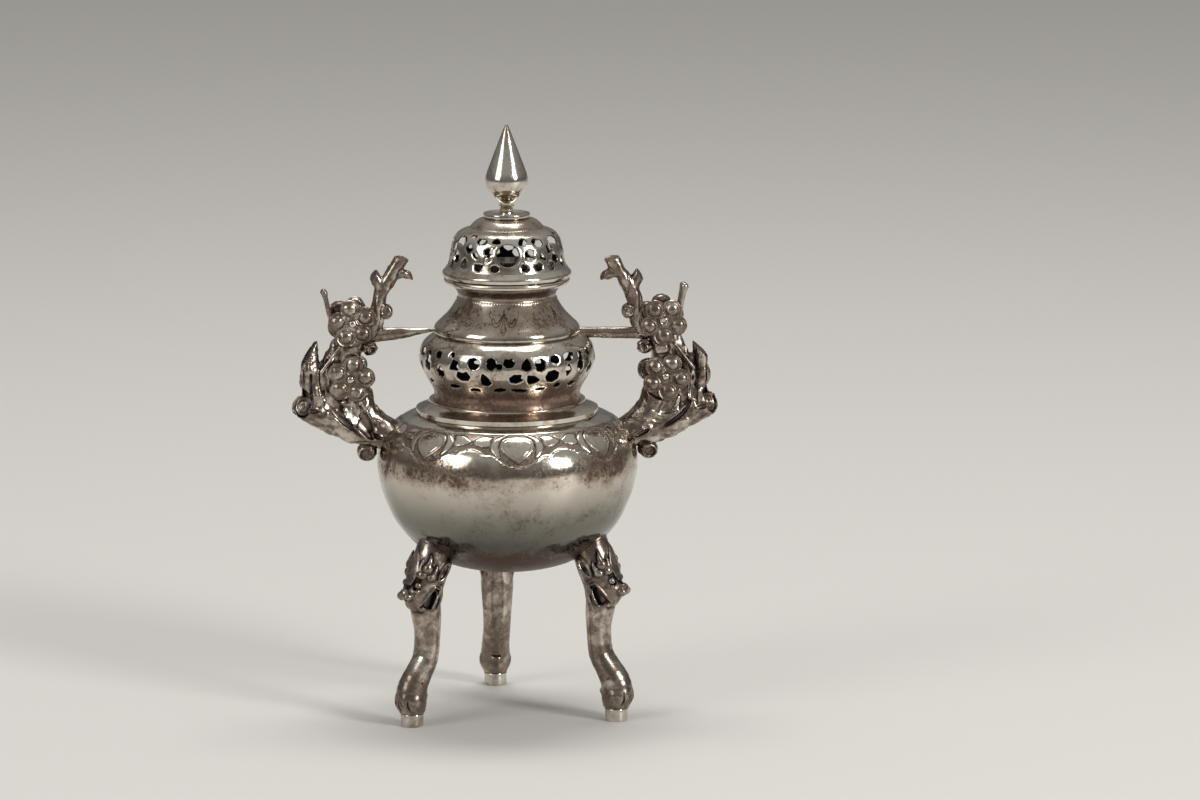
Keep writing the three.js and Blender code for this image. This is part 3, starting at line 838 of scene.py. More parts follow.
@dataclass(frozen=True)
class AntiqueSilver:
    """Old sterling silver, polished by hand and tarnished where the cloth doesn't reach.

    Bright metal shows on what stands out, sulphide turns the rest from straw to brown to violet black, and
    the tarnish is rougher than the metal. Fine pits and rubbing marks break the reflections.

    Attributes:
        name: The material's name.
        bright: The polished metal.
        straw: The first tarnish.
        brown: The heavier tarnish.
        black: The sulphide in the deepest recesses.
        polish: The roughness of polished metal.
        dull: The roughness of tarnish.
        patch: The size of the tarnish patches, in millimetres.
        cover: How much of the surface the patches cover, from 0 to 1.
        fade: How gradually a patch sets in at its edge.
        grain: The size of the spots and rubbing marks, in millimetres.
        dent: The size of the shallow dents, in millimetres.
        pit: The spacing of the pits, in millimetres, coarser than the real ones so that they show.
        pit_depth: How strongly the pits show.
        speckle: How many small brown spots lie in the patches, from 0 to 1.
        zones: The bands of heights that differ.
    """

    name: str
    bright: str = "#d3cdc3"
    straw: str = "#a99b8b"
    brown: str = "#5b493e"
    black: str = "#171314"
    polish: float = 0.15
    dull: float = 0.44
    patch: float = 14.0
    cover: float = 0.4
    fade: float = 0.11
    grain: float = 1.1
    dent: float = 9.0
    pit: float = 0.7
    pit_depth: float = 0.25
    speckle: float = 0.5
    zones: tuple[Zone, ...] = ()

    def build(self) -> bpy.types.Material:
        """Make the material, in sRGB colours turned to linear and in patterns sized in metres.

        A Math node's numbers are its inputs 0 to 2. A Map Range node's are its value and the two ends of its
        span, and a Mix node's are the share, 0, and the two colours, 6 and 7.

        Returns:
            The material.
        """
        material = bpy.data.materials.new(self.name)
        material.use_nodes = True
        tree = material.node_tree
        tree.nodes.clear()
        place = add_node(tree, "TexCoord", output="Object")
        worn = add_node(tree, "Attribute", output="Fac", attribute_name="tarnish")
        mottles = []
        for size, detail, rough, warp in (
            (self.patch, 5.0, 0.62, 0.6),
            (self.patch / 3.2, 6.0, 0.7, 0.3),
            (self.grain, 4.0, 0.65, 0.0),
            (self.dent, 2.0, 0.4, 0.0),
        ):
            pattern = {"Vector": place, "Scale": 1 / (size * MM), "Detail": detail}
            pattern |= {"Roughness": rough, "Distortion": warp}
            mottles.append(add_node(tree, "TexNoise", pattern, output="Fac"))
        broad, middling, fine, dents = mottles

        # Patches of tarnish, more of them in the zones that have no tint
        patches = add_node(tree, "Math", {0: middling, 1: 0.38}, operation="MULTIPLY")
        patches = add_node(tree, "Math", {0: broad, 1: 0.62, 2: patches}, operation="MULTIPLY_ADD")
        height = add_node(tree, "SeparateXYZ", {"Vector": place}, output="Z")
        shares = [self.zone_share(tree, height, zone) for zone in self.zones]
        for zone, share in zip(self.zones, shares):
            if zone.colour is None:
                patches = add_node(tree, "Math", {0: patches, 1: share}, operation="ADD")

        # Light tarnish, then heavy tarnish with its spots, then sulphide where that lies in a hollow
        level = 0.62 - 0.24 * self.cover
        edge = level + 0.02
        light = add_node(tree, "MapRange", {0: patches, 1: level - 0.1, 2: level + 0.08}, **SMOOTH)
        light = add_node(tree, "Math", {0: worn, 1: 0.9, 2: light}, operation="MULTIPLY_ADD", use_clamp=True)
        streak = add_node(tree, "Math", {0: fine, 1: 0.5}, operation="SUBTRACT")
        ragged = add_node(tree, "Math", {0: streak, 1: 0.22, 2: patches}, operation="MULTIPLY_ADD")
        heavy = add_node(tree, "MapRange", {0: ragged, 1: edge, 2: edge + self.fade}, **SMOOTH)
        dots = add_node(tree, "MapRange", {0: fine, 1: 0.53, 2: 0.64}, **SMOOTH)
        dotted = add_node(tree, "MapRange", {0: patches, 1: level - 0.12, 2: edge}, **SMOOTH)
        spots = add_node(tree, "Math", {0: dots, 1: dotted}, operation="MULTIPLY")
        heavy = add_node(tree, "Math", {0: spots, 1: self.speckle, 2: heavy}, operation="MULTIPLY_ADD")
        heavy = add_node(tree, "Math", {0: worn, 1: 0.85, 2: heavy}, operation="MULTIPLY_ADD", use_clamp=True)
        deep = add_node(tree, "Math", {0: heavy, 1: 0.25, 2: worn}, operation="MULTIPLY_ADD")
        deep = add_node(tree, "MapRange", {0: deep, 1: 0.75, 2: 1.25}, **SMOOTH)

        # Colours from the metal up
        # The tints include the lower bowl's painted dark reflection.
        tints_and_painted_reflection = [(share, zone.colour) for zone, share in zip(self.zones, shares) if zone.colour is not None]
        colour = linear(self.bright)
        for share, over in ((light, self.straw), *tints_and_painted_reflection, (heavy, self.brown), (deep, self.black)):
            colour = add_node(tree, "Mix", {0: share, 6: colour, 7: linear(over)}, output=2, data_type="RGBA")
        rough = add_node(tree, "Math", {0: streak, 1: 0.12, 2: self.polish}, operation="MULTIPLY_ADD")
        roughening = {0: heavy, 1: self.dull - self.polish, 2: rough}
        rough = add_node(tree, "Math", roughening, operation="MULTIPLY_ADD", use_clamp=True)
        metal = add_node(tree, "Math", {0: heavy, 1: -0.3, 2: 1.0}, operation="MULTIPLY_ADD")

        # Pits and rubbing marks, on broad shallow dents
        spread = {"Vector": place, "Scale": 1 / (self.pit * MM), "Randomness": 1.0}
        cells = add_node(tree, "TexVoronoi", spread, output="Distance", feature="F1")
        pits = add_node(tree, "MapRange", {0: cells, 1: 0.05, 2: 0.35}, **SMOOTH)
        marks = add_node(tree, "Math", {0: fine, 1: 0.35}, operation="MULTIPLY")
        marks = add_node(tree, "Math", {0: pits, 1: self.pit_depth, 2: marks}, operation="MULTIPLY_ADD")
        marked = {"Height": marks, "Strength": 0.35, "Distance": 0.08 * MM}
        normal = add_node(tree, "Bump", marked, output="Normal")
        dented = {"Height": dents, "Strength": 0.5, "Distance": 0.6 * MM, "Normal": normal}
        normal = add_node(tree, "Bump", dented, output="Normal")

        surface = {"Base Color": colour, "Metallic": metal, "Roughness": rough, "Normal": normal}
        shader = add_node(tree, "BsdfPrincipled", surface, output="BSDF")
        add_node(tree, "OutputMaterial", {"Surface": shader})
        return material

    @staticmethod
    def zone_share(tree: bpy.types.NodeTree, height: Socket, zone: Zone) -> Socket:
        """The zone's share, whole over its inner part and fading to 0 at its reach.

        Args:
            tree: The material's node tree.
            height: The height on the censer, in metres.
            zone: The band of heights.

        Returns:
            The share at each place.
        """
        inner = 0.3
        above = add_node(tree, "Math", {0: height, 1: zone.middle * MM}, operation="SUBTRACT")
        away = add_node(tree, "Math", {0: above}, operation="ABSOLUTE")
        fall = {0: away, 1: zone.reach * MM, 2: zone.reach * inner * MM, 4: zone.share}
        return add_node(tree, "MapRange", fall, **SMOOTH)


# The bowl and neck: smooth and polished, with brown patches where hands seldom rub. Below, the bowl is tinted
# greenish grey, kept dark as a painted reflection of dark surroundings.
RAISED = AntiqueSilver(
    "hand_raised_silver",
    bright="#cdc6ba",
    straw="#a99b8c",
    brown="#574439",
    polish=0.13,
    patch=17.0,
    cover=0.22,
    fade=0.14,
    pit_depth=0.12,
    speckle=0.4,
    zones=(
        Zone(88.5, 7, 0.13),
        Zone(50, 17, 0.28),
        Zone(138, 7, 0.1),
        Zone(144.6, 1.8, 0.2),
        # Painted reflection: the lower bowl's dark greenish grey tint stands in for dark surroundings
        # mirrored in it.
        Zone(60, 27, 0.82, "#595b54"),
    ),
)
# The rings, cap, plugs and finial: the brightest metal, coppery at the mouth ring.
TURNED = AntiqueSilver(
    "turned_silver",
    bright="#d3cdc2",
    brown="#604d40",
    polish=0.14,
    patch=11.0,
    cover=0.26,
    fade=0.2,
    speckle=0.3,
    zones=(Zone(106.6, 2.0, 0.36, "#8c6449"),),
)
# The gallery and lid dome: worn bright round the openings, browner between them, coppery at the waist.
PIERCED = AntiqueSilver(
    "saw_pierced_silver",
    bright="#cfc8bc",
    straw="#a6988a",
    brown="#5d4c41",
    patch=10.0,
    cover=0.36,
    fade=0.18,
    speckle=0.45,
    zones=(Zone(108.6, 5.5, 0.46, "#8b6043"), Zone(112, 7, 0.09)),
)
# The legs and branches: purple-brown grey in the hollows and pale where they are handled.
CAST = AntiqueSilver(
    "cast_silver",
    bright="#c5bcb0",
    straw="#85786d",
    brown="#463a35",
    black="#181416",
    polish=0.23,
    patch=8.0,
    cover=0.66,
    fade=0.3,
    speckle=0.25,
)


FINISHES = {Slot.RAISED: RAISED, Slot.TURNED: TURNED, Slot.PIERCED: PIERCED, Slot.CAST: CAST}


@dataclass
class Workshop:
    """Makes pieces, puts each on its body and hides the frame part that it stands for.

    Attributes:
        materials: The finished materials, by slot.
    """

    materials: dict[Slot, bpy.types.Material]

    def piece(self, node: str, skin: Skin, body: Body, slot: Slot) -> None:
        """Make the piece that stands for a frame node.

        Args:
            node: The node's name.
            skin: The surface.
            body: The body it rides on.
            slot: Its material slot.
        """
        made = build_object(f"{node}_silver", skin, self.materials[slot])
        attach(made, body.value)
        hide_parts(node)
        LOG.info("%s: %d triangles", node, len(skin.faces))


# Sawn openings and chased lines on a raised surface


class Sawn(Enum):
    """The outlines of the openings, each in a box one wide and one tall."""

    BEAN = ((-0.5, -0.1), (-0.2, -0.45), (0.3, -0.4), (0.5, 0), (0.3, 0.45), (0.05, 0.25), (-0.35, 0.4))
    DIAMOND = ((-0.5, 0.05), (-0.05, -0.5), (0.5, -0.05), (0.05, 0.5))
    DROP = ((-0.45, -0.3), (0.1, -0.5), (0.5, -0.35), (0.35, 0.2), (0.1, 0.5), (-0.3, 0.1))
    WEDGE = ((-0.5, -0.45), (0.5, -0.5), (0.4, 0.35), (-0.1, 0.5))
    SLIT = ((-0.5, -0.4), (-0.1, -0.5), (0.3, -0.15), (0.5, 0.1), (0.1, 0.45), (-0.3, 0.2))
    ROUND = ((-0.5, 0), (-0.33, -0.4), (0.1, -0.5), (0.45, -0.25), (0.45, 0.25), (0.1, 0.5), (-0.35, 0.4))
    NOTCHED = ((-0.5, 0.2), (-0.45, -0.4), (0.1, -0.5), (0.5, -0.3), (0.25, -0.05), (0.5, 0.3), (0, 0.5))


@dataclass(frozen=True)
class Opening:
    """One opening sawn through a sheet.

    Attributes:
        azimuth: Where it is, in degrees from the middle of the pattern.
        height: The height of its middle.
        wide: Its size round the piece.
        tall: Its size along the outline.
        shape: Its outline.
        lean: How far it is turned, in degrees.
    """

    azimuth: float
    height: float
    wide: float
    tall: float
    shape: Sawn
    lean: float = 0.0

    def corners(self) -> Array:
        """The opening's corners in millimetres, round the piece and up it, drawn in by the rounding."""
        size = np.array([self.wide, self.tall]) * SAW_SPREAD - 2 * SAW_ROUND
        unit = np.asarray(self.shape.value) * size
        c, s = math.cos(math.radians(self.lean)), math.sin(math.radians(self.lean))
        return unit @ np.array([[c, s], [-s, c]])


def sawn_field(
    openings: Sequence[Opening], repeats: int, middle: float, outline: Array, azimuth: Array, arc: Array
) -> Array:
    """The distance to the nearest of a pattern's openings, negative inside one.

    Args:
        openings: One repeat of the pattern.
        repeats: How many repeats go round.
        middle: The azimuth of the first repeat's middle, in degrees.
        outline: The sheet's outline.
        azimuth: A column of angles from the front.
        arc: A row of lengths along the outline.

    Returns:
        The distance over the grid, at most a few millimetres. It is worked out only in a window round each
        opening, with a margin beside it.
    """
    far, margin = 4.0, 1.5
    nearest = np.full((azimuth.size, arc.size), far)
    for opening in openings:
        row = np.interp(opening.height, outline[:, 1], arc[0])
        radius = np.interp(opening.height, outline[:, 1], outline[:, 0])
        rows = np.flatnonzero(np.abs(arc[0] - row) < opening.tall / 2 + margin)
        for turn in range(repeats):
            centre = math.radians(middle + opening.azimuth) + turn * TURN / repeats
            across = ((azimuth[:, 0] - centre + math.pi) % TURN - math.pi) * radius
            columns = np.flatnonzero(np.abs(across) < opening.wide / 2 + margin)
            u, v = np.meshgrid(across[columns], arc[0, rows] - row, indexing="ij")
            places = np.stack([u.ravel(), v.ravel()], 1)
            found = (polygon(places, opening.corners()) - SAW_ROUND).reshape(u.shape)
            window = np.ix_(columns, rows)
            nearest[window] = np.minimum(nearest[window], found)
    return nearest


def mirrored(rows: Rows) -> Array:
    """Close a half outline, given from its top to its bottom on one side, with its mirror image."""
    half = curve_through(rows, 24)
    return np.concatenate([half, (half * (-1, 1))[::-1]])


def drawn(points: Array, rows: Rows, count: int = 14) -> Array:
    """The distance to a smooth line through rows in the plane."""
    curve = curve_through(rows, count)
    return strand(points, curve, np.zeros(count))


# The raised and turned vessel


@dataclass
class Vessel:
    """The bowl, its mouth ring, the pierced gallery, the neck and its rim.

    Attributes:
        sheet: The thickness of raised sheet.
        sawn_sheet: And of the sheet that is pierced.
        front: The azimuth of the middle of the gallery's pattern, in degrees.
        bowl_rows: The bowl's outer outline, as radius and height from its bottom to its mouth.
        mouth: The radius of the bowl's mouth.
        motifs: How many petals go round the shoulder.
        motif_turn: The azimuth of the front petal, in degrees.
        border: The height where the chased band begins.
        heart: Half of a petal's outline, as distance across and distance down from the border.
        crescent: The outline of the leaf that hugs a petal.
        leaflet: The outline of the leaf beyond it.
        wave: The band's lower edge over half a motif, as distance across and down.
        ground: How deep the band's ground is sunk.
        gallery_rows: The gallery's outer outline.
        gallery_openings: A third of its pierced pattern.
        neck_rows: The neck's outer outline.
        leaves: How many engraved leaves go round the neck.
    """

    sheet: float = 0.9
    sawn_sheet: float = 0.65
    front: float = -6.2
    bowl_rows: Rows = (
        (0, 49), (14, 50.4), (26, 54.6), (36.2, 64), (41.2, 73.6), (43.3, 81), (43.75, 87), (42.9, 92.2),
        (40.7, 96.4), (37.6, 99.6), (34, 101.7), (31, 102.7),
    )
    mouth: float = 27.0
    motifs: int = 8
    motif_turn: float = -1.4
    border: float = 101.0
    heart: Rows = ((0, 1.1), (2.6, 1.3), (4.6, 2.5), (5.4, 4.4), (5, 6.3), (3.4, 8.4), (1.5, 10), (0, 11.1))
    crescent: Rows = (
        (3.2, 0.3), (5.6, 1.2), (7.8, 3.2), (8.6, 5.3), (7.9, 7.4), (6.2, 9.3), (6.4, 7.6), (6.6, 5.6),
        (6.0, 3.2), (4.8, 1.5),
    )
    leaflet: Rows = (
        (8.0, 1.3), (10.4, 1.0), (12.4, 2.0), (14.4, 3.7), (12.2, 4.9), (10.2, 5.2), (9.2, 4.6), (9.0, 2.9),
    )
    wave: Rows = (
        (0, 12.5), (3, 12.2), (5.6, 10.9), (7.8, 9.2), (9.6, 8.7), (11.2, 8.6), (12.6, 7.4), (15, 6.6),
        (18, 6.6),
    )
    ground: float = 0.26
    gallery_rows: Rows = (
        (24.8, 107.3), (24.5, 109.2), (24.9, 111.3), (27.2, 115.3), (29, 118.7), (29.55, 121.3),
        (29, 124.9), (27.8, 127), (25.6, 128.8), (24, 129.6),
    )
    gallery_openings: tuple[Opening, ...] = (
        Opening(-52, 125.1, 2.8, 2.4, Sawn.ROUND),
        Opening(-39.6, 125.8, 2.2, 1.8, Sawn.WEDGE),
        Opening(-37, 122.6, 3.4, 3.2, Sawn.WEDGE),
        Opening(-22.4, 123.4, 3.9, 3.7, Sawn.ROUND),
        Opening(-10.5, 123.6, 3.2, 3.8, Sawn.ROUND),
        Opening(-5.2, 122.8, 2.0, 2.0, Sawn.ROUND),
        Opening(1.3, 124.0, 3.6, 3.2, Sawn.BEAN),
        Opening(12.4, 123.3, 3.4, 3.8, Sawn.DROP),
        Opening(22.2, 123.0, 3.5, 4.1, Sawn.ROUND),
        Opening(33.2, 124.3, 3.4, 3.0, Sawn.ROUND),
        Opening(45.3, 124.9, 4.4, 2.9, Sawn.NOTCHED),
        Opening(57.0, 124.4, 2.6, 3.0, Sawn.ROUND),
        Opening(-49.9, 119.3, 3.8, 3.6, Sawn.BEAN, 30),
        Opening(-30.2, 118.9, 4.9, 3.6, Sawn.BEAN),
        Opening(-15.1, 117.9, 3.6, 4.6, Sawn.DROP, 20),
        Opening(5.8, 118.5, 3.3, 4.4, Sawn.BEAN, -80),
        Opening(17.4, 117.8, 4.6, 3.4, Sawn.DROP, 160),
        Opening(31.3, 118.8, 4.9, 4.2, Sawn.ROUND),
        Opening(44.1, 120.4, 2.6, 4.0, Sawn.DIAMOND),
        Opening(56.2, 121.0, 3.4, 3.8, Sawn.ROUND),
        Opening(-40, 114.9, 4.2, 1.7, Sawn.SLIT),
        Opening(-23.3, 114.3, 3.6, 1.3, Sawn.WEDGE),
        Opening(-5.2, 114.5, 4.0, 1.8, Sawn.SLIT),
        Opening(8.6, 114.2, 4.8, 1.5, Sawn.SLIT, 170),
        Opening(24.4, 114.6, 3.0, 1.3, Sawn.SLIT),
        Opening(37.2, 115.4, 2.6, 1.7, Sawn.WEDGE),
        Opening(52, 115.2, 3.4, 1.7, Sawn.SLIT),
    )
    neck_rows: Rows = (
        (24.3, 129.6), (24.64, 130.6), (24.1, 132.4), (22.1, 134.4), (20.1, 136.4), (18.5, 138.5),
        (16.9, 141.2), (16.4, 142.8), (17, 144.4), (18.1, 145.5), (18.3, 146.3),
    )
    leaves: int = 6

    def body(self) -> Array:
        """The bowl's outer outline from its bottom to its top, which the cast work is fitted to."""
        return curve_through(self.bowl_rows, 97)

    def bowl(self) -> Skin:
        """The raised bowl with its chased shoulder, whose rows lie closest together in the band."""
        fine = self.body()
        height = fine[:, 1]
        crowd = np.where((height > 90) & (height < 102), 3.2, 1.0)
        place = np.concatenate([[0], np.cumsum((crowd[1:] + crowd[:-1]) / 2 * np.diff(arc_length(fine)))])
        even = np.linspace(0, place[-1], 112)
        outer = np.stack([np.interp(even, place, fine[:, 0]), np.interp(even, place, height)], 1)
        inner = offset(curve_through(self.bowl_rows, 18), self.sheet)[::-1]
        inner[0] = (self.mouth + 1, inner[0, 1])
        outer = np.concatenate([outer, [[self.mouth, self.bowl_rows[-1][1]]]])
        return revolve(np.concatenate([outer, inner]), 720, len(outer) - 1, self.shoulder_relief)

    def shoulder_relief(self, azimuth: Array, arc: Array) -> tuple[Array, Array]:
        """The height and tarnish of the chased band, over angle and arc length up the bowl.

        Distances are taken round the bowl and down from the border. The ground is sunk where it is clear of
        every leaf, the leaves keep the bowl's own surface with a line chased inside the petal's edge, and a
        thin ridge follows the band's lower edge.
        """
        above, below = -2, 15
        line_inset, ridge_drop, leaf_rim = -0.75, 0.25, 0.25
        fine = self.body()
        along = arc_length(fine)
        radius = np.interp(arc, along, fine[:, 0])
        top = np.interp(self.border, fine[:, 1], along)
        period = TURN / self.motifs
        turned = (azimuth - math.radians(self.motif_turn) + period / 2) % period - period / 2
        across, down = np.abs(turned) * radius, top - arc + 0 * azimuth
        shape = across.shape
        lift, tarnish = np.zeros(shape), np.zeros(shape)
        rows = np.flatnonzero((down[0] > above) & (down[0] < below))
        places = np.stack([across[:, rows].ravel(), down[:, rows].ravel()], 1)
        petal = polygon(places, mirrored(self.heart))
        crescent = polygon(places, loop_through(self.crescent, 40))
        leaflet = polygon(places, loop_through(self.leaflet, 32))
        leaves = np.minimum(petal, np.minimum(crescent, leaflet))
        edge = curve_through(self.wave, 40)
        lower = places[:, 1] - np.interp(places[:, 0], edge[:, 0], edge[:, 1])
        band = np.maximum(-places[:, 1], lower * 0.8)
        sunk = smooth_step(0, 0.4, leaves) * smooth_step(0.1, -0.35, band)
        grain = noise(np.stack([places[:, 0] * 1.3, places[:, 1] * 1.3, 0 * places[:, 0]], 1), 0.55, 7)
        chased = ridge(petal, line_inset, 0.03)
        top_line = ridge(places[:, 1], 0, 0.06)
        local = -self.ground * sunk + 0.07 * sunk * grain
        local += 0.16 * ridge(lower, ridge_drop, 0.1) * (places[:, 1] > 1)
        local -= 0.14 * top_line
        local -= 0.12 * chased
        local += 0.04 * smooth_step(-0.8, -3.5, leaves)
        tone = sunk * (0.66 + 0.12 * grain) - 0.12 * smooth_step(-0.1, -0.5, leaves)
        tone += 0.45 * ridge(leaves, leaf_rim, 0.05) * (band < 0)
        tone += 0.7 * chased + 0.3 * top_line
        lift[:, rows] = local.reshape(shape[0], -1)
        tarnish[:, rows] = tone.reshape(shape[0], -1)
        return lift, tarnish

    def mouth_ring(self) -> Skin:
        """The turned ring on the bowl's mouth."""
        cove = curve_through(((30.55, 104.4), (29.6, 104.8), (27.6, 105.7), (26.4, 106.6), (26.2, 107.3)), 20)
        profile = np.concatenate([[(24, 102.7), (30.3, 102.7), (30.55, 102.95)], cove, [(24, 107.3)]])
        return revolve(profile, 320)

    def gallery(self) -> Skin:
        """The pierced drum, with its sawn edges eased and its foot dark."""
        outline = curve_through(self.gallery_rows, 76)

        def openings(azimuth: Array, arc: Array) -> Array:
            """The distance to the nearest opening."""
            return sawn_field(self.gallery_openings, 3, self.front, outline, azimuth, arc)

        def relief(azimuth: Array, arc: Array) -> tuple[Array, Array]:
            """Eased edges, and a colour that darkens towards the foot and just under the neck."""
            gap = openings(azimuth, arc)
            height = np.interp(arc, arc_length(outline), outline[:, 1])
            foot = 0.55 * smooth_step(119, 112, height) + 0.25 * smooth_step(127.5, 129.5, height)
            return -0.1 * smooth_step(0.3, 0, gap), foot - 1.1 * smooth_step(0.42, 0.15, gap)

        return pierced(outline, self.sawn_sheet, 560, openings, relief)

    def neck(self) -> Skin:
        """The waisted neck."""
        outline = curve_through(self.neck_rows, 96)
        return revolve(wall(outline, self.sheet), 640, len(outline), self.neck_relief)

    def neck_relief(self, azimuth: Array, arc: Array) -> tuple[Array, Array]:
        """Engraved leaves on the slope, small beads round the throat, and a dark band under the rim."""
        throat, beads_round = 141.7, 110
        outline = curve_through(self.neck_rows, 96)
        along = arc_length(outline)
        height, radius = np.interp(arc, along, outline[:, 1]), np.interp(arc, along, outline[:, 0])
        period = TURN / self.leaves
        turned = (azimuth - math.radians(self.front - 3) + period / 2) % period - period / 2
        across = np.abs(turned) * radius
        places = np.stack([across.ravel(), (height + 0 * azimuth).ravel()], 1)
        spear = mirrored(((0, 140), (0.18, 138), (0.3, 136), (0.8, 134.2), (0.5, 133.2), (0, 132.2)))
        lines = np.abs(polygon(places, spear))
        for rows in (
            ((0.35, 138.6), (0.9, 136.4), (2.2, 134.9), (3.5, 135.2), (4.1, 136.6), (3.5, 137.4), (3, 136.7)),
            ((0.7, 137.8), (1.4, 136.6), (2.4, 135.9), (3.1, 136.3)),
            ((4.3, 137.2), (4.8, 138.6), (4.4, 139.6)),
        ):
            lines = np.minimum(lines, drawn(places, rows))
        lines = lines.reshape(across.shape)
        cut = ridge(lines, 0, 0.02)
        beads = ridge(height, throat, 0.06) * (0.6 + 0.4 * np.cos(beads_round * azimuth))
        under = smooth_step(142.2, 143.6, height) + 0 * azimuth
        worn = 0.18 * smooth_step(132, 139, height) + 0.55 * under
        return 0.14 * beads - 0.09 * cut, worn + 1.0 * cut

    def neck_rim(self) -> Skin:
        """The ring that the lid sits on."""
        edge = curve_through(((20.3, 146.3), (21.0, 147.0), (21.15, 147.7), (20.9, 148.4), (20.3, 148.7)), 16)
        profile = np.concatenate([[(17.2, 146.3)], edge, [(17.2, 148.7)]])
        return revolve(profile, 320)

    def build(self, shop: Workshop) -> None:
        """Make and dress the vessel's turned and raised pieces."""
        shop.piece("bowl", self.bowl(), Body.VESSEL, Slot.RAISED)
        shop.piece("mouth_ring", self.mouth_ring(), Body.VESSEL, Slot.TURNED)
        shop.piece("gallery", self.gallery(), Body.VESSEL, Slot.PIERCED)
        shop.piece("neck", self.neck(), Body.VESSEL, Slot.RAISED)
        shop.piece("neck_rim", self.neck_rim(), Body.VESSEL, Slot.TURNED)


# The lid


@dataclass
class Lid:
    """The pierced lid with its rim, collar, cap and finial.

    Attributes:
        front: The azimuth of the round vent at the front, in degrees.
        sheet: The thickness of the dome's sheet.
        vents: How many round vents, and repeats of the pierced pattern, go round.
        vent: The height and radius of each round vent.
        vent_ring: The width of the flat ring round it.
        dome_rows: The dome's outer outline, as radius and height from its foot to its top.
        bore: The radius of the hole for the rod.
        openings: A third of the pierced pattern, from the middle of a vent.
    """

    front: float = -5.3
    sheet: float = 0.65
    vents: int = 3
    vent: tuple[float, float] = (158.4, 3.85)
    vent_ring: float = 0.75
    dome_rows: Rows = (
        (20, 152.2), (19.6, 153.4), (19.2, 155.4), (18.75, 158.4), (17.9, 161.5), (16.5, 163.5),
        (14.9, 164.5), (12.6, 165.3), (12.2, 165.7), (11.4, 166.6), (9.7, 167.9), (7.4, 168.6),
    )
    bore: float = 1.5
    openings: tuple[Opening, ...] = (
        Opening(-29.5, 162.7, 3.7, 2.5, Sawn.BEAN),
        Opening(-12.8, 162.9, 2.9, 2.2, Sawn.DROP),
        Opening(16.3, 162.7, 3.2, 2.6, Sawn.DROP, 20),
        Opening(34.5, 162.2, 4.2, 3.0, Sawn.BEAN, -20),
        Opening(-44, 164.0, 2.6, 1.6, Sawn.WEDGE),
        Opening(-57, 162.4, 3.0, 3.8, Sawn.BEAN, 60),
        Opening(58, 162.4, 3.0, 3.6, Sawn.SLIT, -60),
        Opening(-44, 160.0, 3.0, 3.2, Sawn.DIAMOND),
        Opening(-20, 159.4, 3.0, 2.3, Sawn.NOTCHED),
        Opening(-20.4, 157.0, 2.2, 1.8, Sawn.ROUND),
        Opening(23.4, 158.1, 3.2, 4.2, Sawn.NOTCHED),
        Opening(38.5, 157.2, 2.9, 2.2, Sawn.DROP, 120),
        Opening(49.3, 160.0, 2.8, 3.4, Sawn.DIAMOND, -20),
        Opening(-35, 158.0, 1.8, 2.6, Sawn.SLIT, 70),
        Opening(-63, 156.6, 3.4, 3.6, Sawn.ROUND),
        Opening(-48.7, 154.9, 3.4, 3.4, Sawn.DROP),
        Opening(-30.3, 154.0, 3.2, 2.4, Sawn.WEDGE, 180),
        Opening(-13, 153.9, 2.9, 2.2, Sawn.ROUND),
        Opening(17, 153.9, 3.1, 2.2, Sawn.DROP, 140),
        Opening(32.3, 154.3, 3.2, 2.8, Sawn.ROUND),
        Opening(48.8, 154.0, 2.8, 2.8, Sawn.BEAN, 50),
    )

    def outline(self) -> Array:
        """The dome's outer outline, in to the bore for the rod."""
        curve = curve_through(self.dome_rows, 76)
        inward = np.linspace(curve[-1, 0], self.bore, 10)[1:]
        return np.concatenate([curve, np.stack([inward, np.full(9, curve[-1, 1])], 1)])

    def dome(self) -> Skin:
        """The pierced dome with its round vents."""
        outline = self.outline()
        along = arc_length(outline)
        height, radius = self.vent
        rising = outline[:, 1] + np.arange(len(outline)) * TINY
        row, reach = np.interp(height, rising, along), np.interp(height, rising, outline[:, 0])

        def vents(azimuth: Array, arc: Array) -> Array:
            """The distance to the nearest round vent."""
            period = TURN / self.vents
            turned = (azimuth - math.radians(self.front) + period / 2) % period - period / 2
            return np.hypot(turned * reach, arc - row) - radius

        def openings(azimuth: Array, arc: Array) -> Array:
            """The distance to the nearest opening of any kind."""
            small = sawn_field(self.openings, self.vents, self.front, outline, azimuth, arc)
            return np.minimum(small, vents(azimuth, arc))

        def relief(azimuth: Array, arc: Array) -> tuple[Array, Array]:
            """Eased edges, a flat ring round each vent, and tarnish on the steps above."""
            gap, ring = openings(azimuth, arc), vents(azimuth, arc)
            raised = 0.1 * smooth_step(self.vent_ring, self.vent_ring - 0.15, ring)
            at = np.interp(arc, along, outline[:, 1]) + 0 * azimuth
            steps = 0.35 * smooth_step(163.6, 165, at)
            shade = 0.4 * ridge(ring, self.vent_ring, 0.01)
            return raised - 0.1 * smooth_step(0.3, 0, gap), steps + shade - 1.1 * smooth_step(0.42, 0.15, gap)

        return pierced(outline, self.sheet, 420, openings, relief)

    def rim(self) -> Skin:
        """The turned rim."""
        edge = curve_through(((21.4, 149), (21.65, 149.8), (21.5, 150.6), (20.9, 151.3), (20.3, 152.2)), 16)
        profile = np.concatenate([[(15.2, 149)], edge, [(19, 152.2), (18.6, 150.2), (15.2, 150)]])
        return revolve(profile, 320)

    def bezel(self) -> Skin:
        """The collar that centres the lid in the neck."""
        return revolve(np.array([(15.2, 145.6), (16.0, 145.6), (16.2, 145.9), (16.2, 149), (15.2, 149)]), 128)

    def cap(self) -> Skin:
        """The dished disc under the finial."""
        edge = curve_through(((7.5, 168.6), (7.8, 168.9), (7.8, 169.9), (7.5, 170.2), (6.9, 170.1)), 14)
        floor = [(6.2, 169.7), (4.5, 169.55), (2.7, 169.5), (self.bore, 169.5)]
        return revolve(np.concatenate([[(self.bore, 168.6)], edge, floor]), 192)

